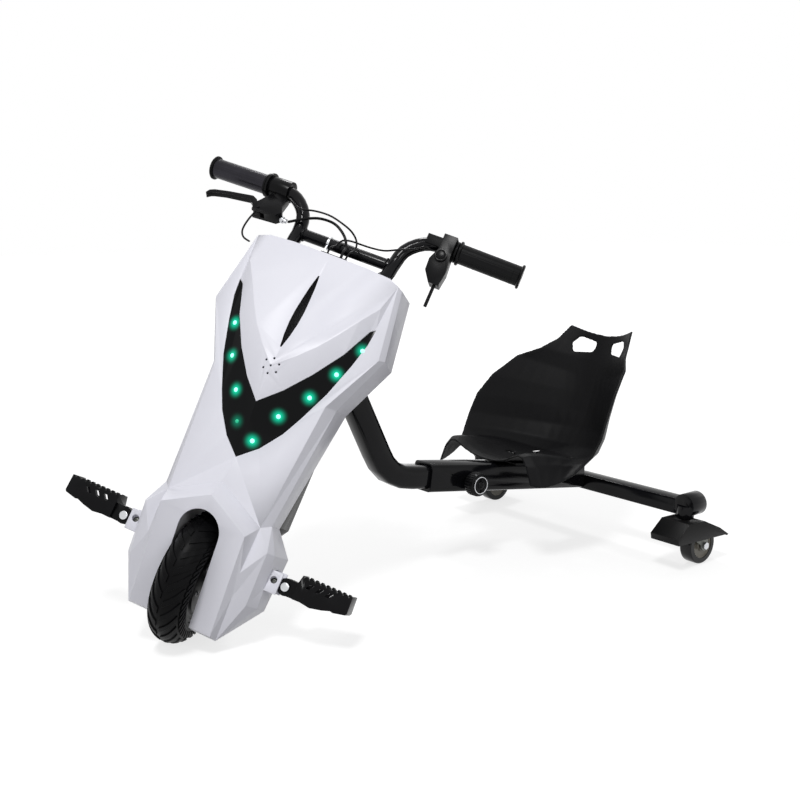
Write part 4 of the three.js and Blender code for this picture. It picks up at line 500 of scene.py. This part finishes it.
# The lights: small bright domes on the gloss black lens, and the green haze that each one throws on it.
# A place is across, up and how bright; the line that finds the lens there starts at front
lights = dict(
    places=[(-89, 474, 1.0), (-70, 426, 0.95), (-40, 380, 1.0), (-19, 338, 0.55), (14, 320, 1.0),
            (36, 367, 1.0), (66, 410, 1.0), (88, 457, 1.0), (108, 505, 0.9)],
    front=-220, green=(0.0, 0.75, 0.42), core=(0.3, 1.0, 0.74), reach=19.0, haze=1.15, hazePower=2.4,
    dome=3.3, domeGlow=1.5, dimBelow=0.7, dimCore=(0.02, 0.45, 0.24), dimGlow=0.5, fixedSize=0.8,
    domeSteps=20, domeFoot=0.4, domeRim=0.1, domeShares=[(0.86, 0.32), (0.5, 0.55), (0, 0.62)])
lensLook = dict(colour=(0.0026, 0.003, 0.0034), roughness=0.1, specular=0.1, mottle=0.1, grain=250,
                grainDepth=0.015, roughSpread=0.03)
lensEdges = dict(width=0.5, angle=14, segments=2, flat=0.6)


def litLens(spots):
    material = surface("lensBlack", **lensLook)
    tree = material.node_tree
    where = nodeIn(tree, "ShaderNodeTexCoord", (-1600, -700))
    total = None
    for number, (spot, bright) in enumerate(spots):
        row = -700 - 160 * number
        far = nodeIn(tree, "ShaderNodeVectorMath", (-1400, row), operation="DISTANCE")
        tree.links.new(where.outputs["Object"], far.inputs[0])
        far.inputs[1].default_value = spot
        fade = nodeIn(tree, "ShaderNodeMapRange", (-1220, row), interpolation_type="SMOOTHSTEP",
                      From_Min=0.0, From_Max=lights["reach"] * mm, To_Min=bright, To_Max=0.0)
        tree.links.new(far.outputs["Value"], fade.inputs["Value"])
        sharp = nodeIn(tree, "ShaderNodeMath", (-1040, row), operation="POWER")
        tree.links.new(fade.outputs["Result"], sharp.inputs[0])
        sharp.inputs[1].default_value = lights["hazePower"]
        if total is None:
            total = sharp.outputs["Value"]
            continue
        added = nodeIn(tree, "ShaderNodeMath", (-860, row), operation="ADD")
        tree.links.new(total, added.inputs[0])
        tree.links.new(sharp.outputs["Value"], added.inputs[1])
        total = added.outputs["Value"]
    level = nodeIn(tree, "ShaderNodeMath", (-600, -700), operation="MULTIPLY")
    tree.links.new(total, level.inputs[0])
    level.inputs[1].default_value = lights["haze"]
    shader = tree.nodes["Principled BSDF"]
    shader.inputs["Emission Color"].default_value = (*lights["green"], 1)
    tree.links.new(level.outputs["Value"], shader.inputs["Emission Strength"])
    return material


def glowing(name, colour, strength):
    material = surface(name, colour, roughness=0.3, specular=0.3, mottle=0.05)
    shader = material.node_tree.nodes["Principled BSDF"]
    shader.inputs["Emission Color"].default_value = (*colour, 1)
    shader.inputs["Emission Strength"].default_value = strength
    return material


finishes["lightCore"] = glowing("lightCore", lights["core"], lights["domeGlow"])
finishes["lightDim"] = glowing("lightDim", lights["dimCore"], lights["dimGlow"])
spots = []
for number, (x, z, bright) in enumerate(lights["places"]):
    point, normal = landing("light_lens", steeredPoint(x, lights["front"], z), steeredWay(0, 1, 0))
    spots.append((point, bright))
    dome = lights["dome"] * (lights["fixedSize"] + (1 - lights["fixedSize"]) * bright)
    profile = [(0, -lights["domeFoot"]), (dome, -lights["domeFoot"]), (dome, lights["domeRim"])]
    profile += [(dome * out, dome * up) for out, up in lights["domeShares"]]
    name = "light_dome_" + str(number + 1)
    finishName = "lightCore" if bright > lights["dimBelow"] else "lightDim"
    mesh = meshFrom(turned(profile, lights["domeSteps"]), name, aimed(point, normal))
    placed(name, mesh, "steering", finishName)
finishes["lensBlack"] = litLens(spots)
refined("light_lens", "lensBlack", **lensEdges)
print("lights placed:", len(spots))

# The tyre: a smooth carcass and rows of slanted tread blocks laid round its crown
tyre = dict(axle=(0, -20, 106.74), sides=96, sweep=109, sweepSteps=24, rimHalf=24.0, rimGap=0.3,
            ribLeans=(74, 86, 98), ribFoot=0.7, ribTop=0.35, ribHalf=0.5)
tread = dict(core=75.0, crown=26.9, rim=66.0, blockHeight=2.0, sink=1.0, cuts=5, taper=0.10, count=26,
             slant=0.62, bow=0.016, blockWidth=11.0, blockFrom=2.2, blockTo=27.0, shoulderFrom=30.5,
             shoulderTo=41.0, shoulderWidth=7.5, easing=0.5, easingAngle=40)
wheelFrame = Matrix.Translation(steeredPoint(*tyre["axle"])) @ steered.to_3x3().to_4x4()


def carcass():
    sweep = [(-tyre["sweep"] + 2 * tyre["sweep"] * i / tyre["sweepSteps"])
             for i in range(tyre["sweepSteps"] + 1)]
    profile = [(tread["core"] + tread["crown"] * math.cos(math.radians(a)),
                tread["crown"] * math.sin(math.radians(a))) for a in sweep]
    foot = tread["rim"] - tyre["rimGap"]
    profile += [(foot, tyre["rimHalf"]), (foot, -tyre["rimHalf"])]
    bm = turned(profile, tyre["sides"], closed=True)
    bm.transform(Matrix.Rotation(math.radians(90), 4, "Y"))
    return meshFrom(bm, "tyre_carcass", wheelFrame)


# One block, made flat and then bent over the crown and round the wheel
def treadBlock(bm, start, end, width, side, turn):
    already = len(bm.verts)
    verts = bmesh.ops.create_cube(bm, size=1.0)["verts"]
    bmesh.ops.scale(bm, verts=verts, vec=(end - start, width, tread["blockHeight"] + tread["sink"]))
    longEdges = [edge for edge in {e for v in verts for e in v.link_edges}
                 if abs((edge.verts[0].co - edge.verts[1].co).x) > 1]
    bmesh.ops.subdivide_edges(bm, edges=longEdges, cuts=tread["cuts"], use_grid_fill=True)
    bm.verts.ensure_lookup_table()
    for vert in bm.verts[already:]:
        across = vert.co.x + (start + end) / 2
        height = vert.co.z + tread["blockHeight"] / 2 - tread["sink"] / 2
        narrowed = 1.0 - tread["taper"] * (vert.co.z > 0)
        run = vert.co.y * narrowed + tread["slant"] * across + tread["bow"] * across * across
        lean = across / tread["crown"]
        out = tread["core"] + (tread["crown"] + height) * math.cos(lean)
        angle = turn + run / (tread["core"] + tread["crown"])
        vert.co = Vector((side * (tread["crown"] + height) * math.sin(lean), out * math.sin(angle),
                          out * math.cos(angle))) * mm


def treadBlocks():
    bm = bmesh.new()
    for number in range(tread["count"]):
        for side in (-1, 1):
            turn = math.tau * (number + (0.5 if side > 0 else 0.0)) / tread["count"]
            treadBlock(bm, tread["blockFrom"], tread["blockTo"], tread["blockWidth"], side, turn)
            for extra in (0.0, 0.5):
                treadBlock(bm, tread["shoulderFrom"], tread["shoulderTo"], tread["shoulderWidth"], side,
                           turn + math.tau * extra / tread["count"])
    bmesh.ops.recalc_face_normals(bm, faces=bm.faces)
    bm.transform(wheelFrame)
    return asMesh(bm, "tyre_tread")


tyreBody = placed("tyre_carcass", carcass(), "front_wheel", "tyreRubber", smooth=40)
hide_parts("tyre")
tyreBlocks = placed("tyre_tread", treadBlocks(), "front_wheel", "tyreRubber", smooth=35)
bevelled(tyreBlocks, tread["easing"], tread["easingAngle"])
for side in (-1, 1):
    for number, lean in enumerate(tyre["ribLeans"]):
        a = math.radians(lean)
        out = tread["core"] + tread["crown"] * math.cos(a)
        name = "tyre_rib_" + str(number) + ("_left" if side > 0 else "_right")
        bm = turned([(out - tyre["ribFoot"], -tyre["ribHalf"]), (out + tyre["ribFoot"], -tyre["ribHalf"]),
                     (out + tyre["ribTop"], tyre["ribHalf"]), (out - tyre["ribTop"], tyre["ribHalf"])],
                    tyre["sides"], closed=True)
        bm.transform(Matrix.Rotation(math.radians(90 * side), 4, "Y"))
        bm.transform(Matrix.Translation((side * tread["crown"] * math.sin(a) * mm, 0, 0)))
        placed(name, meshFrom(bm, name, wheelFrame), "front_wheel", "tyreRubber")
print("tyre shod")

# The hub: rim lips and cap bolts on both sides
hub = dict(edges=dict(width=1.0, angle=28), beyond=90.0, boltCircle=38.0, boltRadius=3.6, bolts=6,
           lipInner=59.0, lipOuter=64.5, lipHeight=1.6, lipFoundAt=62.0, lipSides=72)
refined("hub_motor", "hubBlack", **hub["edges"])
for side in (-1, 1):
    tag = "left" if side > 0 else "right"
    for number in range(hub["bolts"]):
        a = math.tau * number / hub["bolts"]
        start = wheelFrame @ (Vector((side * hub["beyond"], hub["boltCircle"] * math.sin(a),
                                      hub["boltCircle"] * math.cos(a))) * mm)
        screwOn("hub_bolt_" + tag + "_" + str(number), "hub_motor", start, steeredWay(-side, 0, 0),
                hub["boltRadius"])
    start = wheelFrame @ (Vector((side * hub["beyond"], 0, hub["lipFoundAt"])) * mm)
    point, normal = landing("hub_motor", start, steeredWay(-side, 0, 0))
    centre = point - steeredWay(0, 0, 1) * hub["lipFoundAt"] * mm
    ring("rim_lip_" + tag, centre, normal, hub["lipInner"], hub["lipOuter"], hub["lipHeight"], "front_wheel",
         "hubBlack", steps=hub["lipSides"])

# The wheel well: a roof over the tyre and two cheeks beside it, so that nothing shows through the slot; they are
# the white shell's inside, coloured grey as painted shade.
# The sides of the outline named in open get no wall
well = dict(half=34.6, thickness=1.2,
            outline=[(-50, 48), (-97.5, 186), (-99.5, 205.5), (-88, 210.5), (-60, 215.5), (-20, 218.5),
                     (20, 215.5), (36, 206), (36, 150), (-31, 132), (-31, 48)], open=(0, 1, 7, 8, 9, 10))


def wellSheet():
    bm = bmesh.new()
    corners = [bm.verts.new((-well["half"] * mm, y * mm, z * mm)) for y, z in well["outline"]]
    face = bm.faces.new(corners)
    drawn = bmesh.ops.extrude_face_region(bm, geom=[face], use_keep_orig=True)
    far = [g for g in drawn["geom"] if isinstance(g, bmesh.types.BMVert)]
    bmesh.ops.translate(bm, verts=far, vec=(2 * well["half"] * mm, 0, 0))
    gone = []
    for number in well["open"]:
        a, b = corners[number], corners[(number + 1) % len(corners)]
        gone += [f for f in bm.faces if a in f.verts and b in f.verts
                 and any(v in far for v in f.verts)]
    bmesh.ops.delete(bm, geom=list(set(gone)), context="FACES_ONLY")
    bmesh.ops.recalc_face_normals(bm, faces=bm.faces)
    bmesh.ops.solidify(bm, geom=list(bm.faces), thickness=well["thickness"] * mm)
    return meshFrom(bm, "wheel_well", steered)


placed("wheel_well", wellSheet(), "steering", "innerGrey", smooth=40)
print("wheel well set")

# Grips with their collars and ends, and the rings that close the throttle and the control pod
grip = dict(inner=(166, 8.1, 719), outer=(268, 18, 720), overhang=4.0, lap=0.6, radius=16.0, ribs=30,
            ribDepth=0.3, flange=19.5, flangeWidth=4.5, lead=0.1, backEase=0.8, frontEase=1.2, neck=0.8,
            endEase=1.4, endHole=6, endFloor=5, endDepth=1, sides=56)
band = dict(places=(30, 60, 90), inner=14.5, outer=16.25, width=2.2, sides=56)  # on the left grip only
disc = dict(inner=15.0, outer=21.5, width=4.0, gap=0.5, sides=56)
podRing = dict(inner=11.3, outer=17.0, width=4.2, back=4.6, sides=48)


# The grip's own frame: its inner end at the origin, Z out along it
def gripFrame(side):
    inner, outer = (Vector((side * x, y, z)) for x, y, z in (grip["inner"], grip["outer"]))
    return aimed(steeredPoint(*inner), steered.to_3x3() @ (outer - inner)), (outer - inner).length


# A ring round the grip's line, its foot at a distance along that line in mm
def ringAlong(name, place, at, settings, body, finishName):
    return ring(name, place @ Vector((0, 0, at * mm)), place.to_3x3() @ Vector((0, 0, 1)), settings["inner"],
                settings["outer"], settings["width"], body, finishName, sink=0,
                steps=settings["sides"])


# The ribbed rubber itself, between its collar and its end
def gripSleeve(node, place, full):
    start = grip["flangeWidth"] - grip["lap"]
    r = grip["radius"]
    bm = bmesh.new()
    made = bmesh.ops.create_circle(bm, cap_ends=True, radius=r * mm, segments=grip["ribs"] * 4)
    for number, vert in enumerate(made["verts"]):
        if number % 4 == 0:
            vert.co *= (r - grip["ribDepth"]) / r
    bmesh.ops.translate(bm, verts=bm.verts, vec=(0, 0, start * mm))
    drawn = bmesh.ops.extrude_face_region(bm, geom=list(bm.faces))
    verts = [g for g in drawn["geom"] if isinstance(g, bmesh.types.BMVert)]
    bmesh.ops.translate(bm, verts=verts, vec=(0, 0, (full - start * 2) * mm))
    return meshFrom(bm, node, place)


for side, node in ((-1, "throttle_grip"), (1, "left_grip")):
    place, length = gripFrame(side)
    dull = side > 0
    body = bodyOf[node]
    tag = "left" if dull else "right"
    full = length + grip["overhang"]
    sleeve = placed(node + "_sleeve", gripSleeve(node, place, full), body,
                    "rubberBlack" if dull else "gripGrey", smooth=50)
    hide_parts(node)
    r, f, w = grip["radius"] - grip["lap"], grip["flange"], grip["flangeWidth"]
    collar = [(0, grip["lead"]), (f - grip["backEase"], grip["lead"]), (f, grip["lead"] + grip["backEase"]),
              (f, w - grip["frontEase"]), (f - grip["frontEase"], w), (r, w + grip["neck"]),
              (0, w + grip["neck"])]
    end = [(0, full - w - grip["neck"]), (r, full - w - grip["neck"]), (f - grip["frontEase"], full - w),
           (f, full - w + grip["frontEase"]), (f, full - grip["endEase"]), (f - grip["endEase"], full),
           (grip["endHole"], full), (grip["endFloor"], full - grip["endDepth"]),
           (0, full - grip["endDepth"])]
    for name, profile in (("grip_collar_", collar), ("grip_end_", end)):
        placed(name + tag, meshFrom(turned(profile, grip["sides"]), node, place), body, "rubberBlack")
    for at in (band["places"] if dull else ()):
        ringAlong("grip_band_" + tag + "_" + str(at), place, at, band, body, "rubberBlack")
ringAlong("throttle_disc", gripFrame(-1)[0], -disc["width"] - disc["gap"], disc, "steering", "plasticBlack")
ringAlong("pod_ring", gripFrame(1)[0], -podRing["back"], podRing, "steering", "plasticBlack")
print("grips made")

# The cables keep their CAD shape, with the sections made round
for node in ("brake_cable", "throttle_cable", "pod_cable", "switch_lead"):
    cable = refined(node, "rubberBlack", width=0, flat=0.0)
    rounder = cable.modifiers.new("rounder", "SUBSURF")
    rounder.levels = 1
    rounder.render_levels = 1
for node in ("handlebar", "crossbar", "main_rail"):
    refined(node, "frameBlack", width=0, flat=0.0, soft=32)
print("bars and cables smoothed")

# The seat: its CAD shell made one even skin, then smoothed until no facet shows
seatSkin = dict(voxel=2.2, rounds=9, strength=0.5)


def seatShell():
    rough = bpy.data.objects.new("seatRough", asMesh(nodeShape("seat"), "seatRough"))
    even = rough.modifiers.new("even", "REMESH")
    even.mode = "VOXEL"
    even.voxel_size = seatSkin["voxel"] * mm
    even.adaptivity = 0.0
    smoother = rough.modifiers.new("smoother", "SMOOTH")
    smoother.factor = seatSkin["strength"]
    smoother.iterations = seatSkin["rounds"]
    return finalMesh(rough, "seat_shell")


seatPiece = placed("seat_shell", seatShell(), "rear_frame", "seatBlack", smooth=180)
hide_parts("seat")
seatBolts = dict(places=((-25, 290), (25, 290), (-25, 350), (25, 350)), above=500, radius=5.0)
for number, (x, y) in enumerate(seatBolts["places"]):
    screwOn("seat_bolt_" + str(number), "seat", Vector((x, y, seatBolts["above"])) * mm, (0, 0, -1),
            seatBolts["radius"], "frameBlack")
print("seat moulded")

# The clamp knob: a knurled cap with a silver ring and a screw in its face
knob = dict(edges=dict(width=0.9, angle=24), ringInner=14.0, ringOuter=15.4, ringHeight=0.8, ringSink=0.4,
            ringSides=48, screwRadius=7.0, screwHeight=0.3, ribs=28, ribSides=10, ribRadius=1.2,
            ribPlace=19.7, ribLength=15.0, ribBack=12.0)
knobLow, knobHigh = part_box("clamp_knob")
knobCentre = (Vector(knobLow) + Vector(knobHigh)) / 2
refined("clamp_knob", "plasticBlack", **knob["edges"])
knobFace = Vector((knobHigh[0], knobCentre.y, knobCentre.z))
ring("knob_ring", knobFace, (1, 0, 0), knob["ringInner"], knob["ringOuter"], knob["ringHeight"], "knob",
     "brightSteel", sink=knob["ringSink"], steps=knob["ringSides"])
bm = bmesh.new()
for number in range(knob["ribs"]):
    a = math.tau * number / knob["ribs"]
    away = Vector((-knob["ribBack"], knob["ribPlace"] * math.cos(a), knob["ribPlace"] * math.sin(a)))
    bmesh.ops.create_cone(bm, cap_ends=True, segments=knob["ribSides"], radius1=knob["ribRadius"] * mm,
                          radius2=knob["ribRadius"] * mm, depth=knob["ribLength"] * mm,
                          matrix=aimed(knobFace + away * mm, (1, 0, 0)))
placed("knob_ribs", meshFrom(bm, "knob_ribs"), "knob", "plasticBlack", smooth=50)
screw("knob_screw", knobFace, (1, 0, 0), knob["screwRadius"], "knob", "plasticBlack",
      height=knob["screwHeight"])

# The other CAD pieces, with the finish where it isn't the slot's own, and how their edges are rounded
roundedPieces = [
    (("peg_bracket_left", "peg_bracket_right"), None, dict(width=0.8, angle=30)),
    (("foot_peg_left", "foot_peg_right"), None, dict(width=0.9, angle=25)),
    (("control_pod",), None, dict(width=2.4, angle=30, segments=4)),
    (("throttle_housing",), None, dict(width=1.6, angle=35, segments=3)),
    (("brake_lever",), None, dict(width=1.8, angle=30, segments=3)),
    (("brake_bracket",), None, dict(width=1.0, angle=32)),
    (("fender_left", "fender_right"), "fenderBlack", dict(width=1.2, angle=12, segments=3)),
    (("horn_button", "stalk_lever", "stem_clamp", "fork_crown", "fork_leg_left", "fork_leg_right",
      "front_axle", "barrel_adjuster", "cable_tie", "head_tube", "headset_lower", "headset_upper",
      "seat_plate", "charge_port", "speaker", "battery_pack", "motor_controller", "peg_bolt_left",
      "peg_bolt_right", "sleeve_tube", "cross_tube", "caster_fork_left", "caster_fork_right",
      "caster_axle_left", "caster_axle_right", "caster_housing_left", "caster_housing_right",
      "steerer_tube"), None, dict(width=0.8, angle=30)),
]
for nodes, finishName, edges in roundedPieces:
    for node in nodes:
        refined(node, finishName, **edges)
print("small CAD pieces rounded")

# The rollers: a dark glossy tread round a pale core
roller = dict(edges=dict(width=0.6, angle=28), half=12.25, inner=24.6, side=33.2, shoulder=34.6, outer=35.1,
              shoulderIn=1.4, outerIn=3.4, sides=64)
for tag in ("left", "right"):
    node = "caster_wheel_" + tag
    low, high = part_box(node)
    centre = Vector([(low[i] + high[i]) / 2 for i in range(3)])
    refined(node, "rollerCore", **roller["edges"])
    rise = [(roller["inner"], roller["half"]), (roller["side"], roller["half"]),
            (roller["shoulder"], roller["half"] - roller["shoulderIn"]),
            (roller["outer"], roller["half"] - roller["outerIn"])]
    bm = turned([(out, -up) for out, up in rise] + rise[::-1], roller["sides"], closed=True)
    bm.transform(Matrix.Rotation(math.radians(90), 4, "Y"))
    placed("roller_tread_" + tag, meshFrom(bm, "roller", Matrix.Translation(centre)), bodyOf[node],
           "rollerDark")
print("rollers shod")

# Screws that hold the stem clamp and the peg brackets, found from in front of them
stemScrews = dict(across=15, front=-150, heights=(606, 624), radius=3.4)
for x in (-stemScrews["across"], stemScrews["across"]):
    for z in stemScrews["heights"]:
        screwOn("stem_screw_" + ("l" if x > 0 else "r") + str(z), "stem_clamp",
                steeredPoint(x, stemScrews["front"], z), steeredWay(0, 1, 0), stemScrews["radius"])
bracketNut = dict(place=(116.5, -150, 146), shadeRingInner=4.2, shadeRingOuter=5.9, shadeRingHeight=0.7,
                  shadeRingSink=0.2, radius=4.6, height=0.7)
for tag, side in (("left", 1), ("right", -1)):
    x, y, z = bracketNut["place"]
    point, normal = landing("peg_bracket_" + tag, steeredPoint(side * x, y, z), steeredWay(0, 1, 0))
    # a flat black ring round each bracket nut stands in for the dark hole there: painted shade, not a washer
    ring("bracket_washer_" + tag, point, normal, bracketNut["shadeRingInner"], bracketNut["shadeRingOuter"],
         bracketNut["shadeRingHeight"], "steering", "holeBlack", sink=bracketNut["shadeRingSink"])
    screw("bracket_nut_" + tag, point, normal, bracketNut["radius"], "steering", "zincPlate",
          height=bracketNut["height"])
print("screws set")

# Weld beads where the crossbar meets the handlebar
crossbarWeld = dict(place=(71.6, -8, 657), around=9.9, radius=1.3)
for side in (-1, 1):
    tag = "left" if side > 0 else "right"
    x, y, z = crossbarWeld["place"]
    around = circlePoints(steeredPoint(side * x, y, z), steeredWay(1, 0, 0), crossbarWeld["around"])
    weld("crossbar_weld_" + tag, around, crossbarWeld["radius"], "steering")
print("welds laid")

for node, shown in frame["nodes"].items():
    shown.data.materials.clear()
    shown.data.materials.append(finishes[slotFinish[slotOf[node]]])
print("CAD nodes dressed")

low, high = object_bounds()
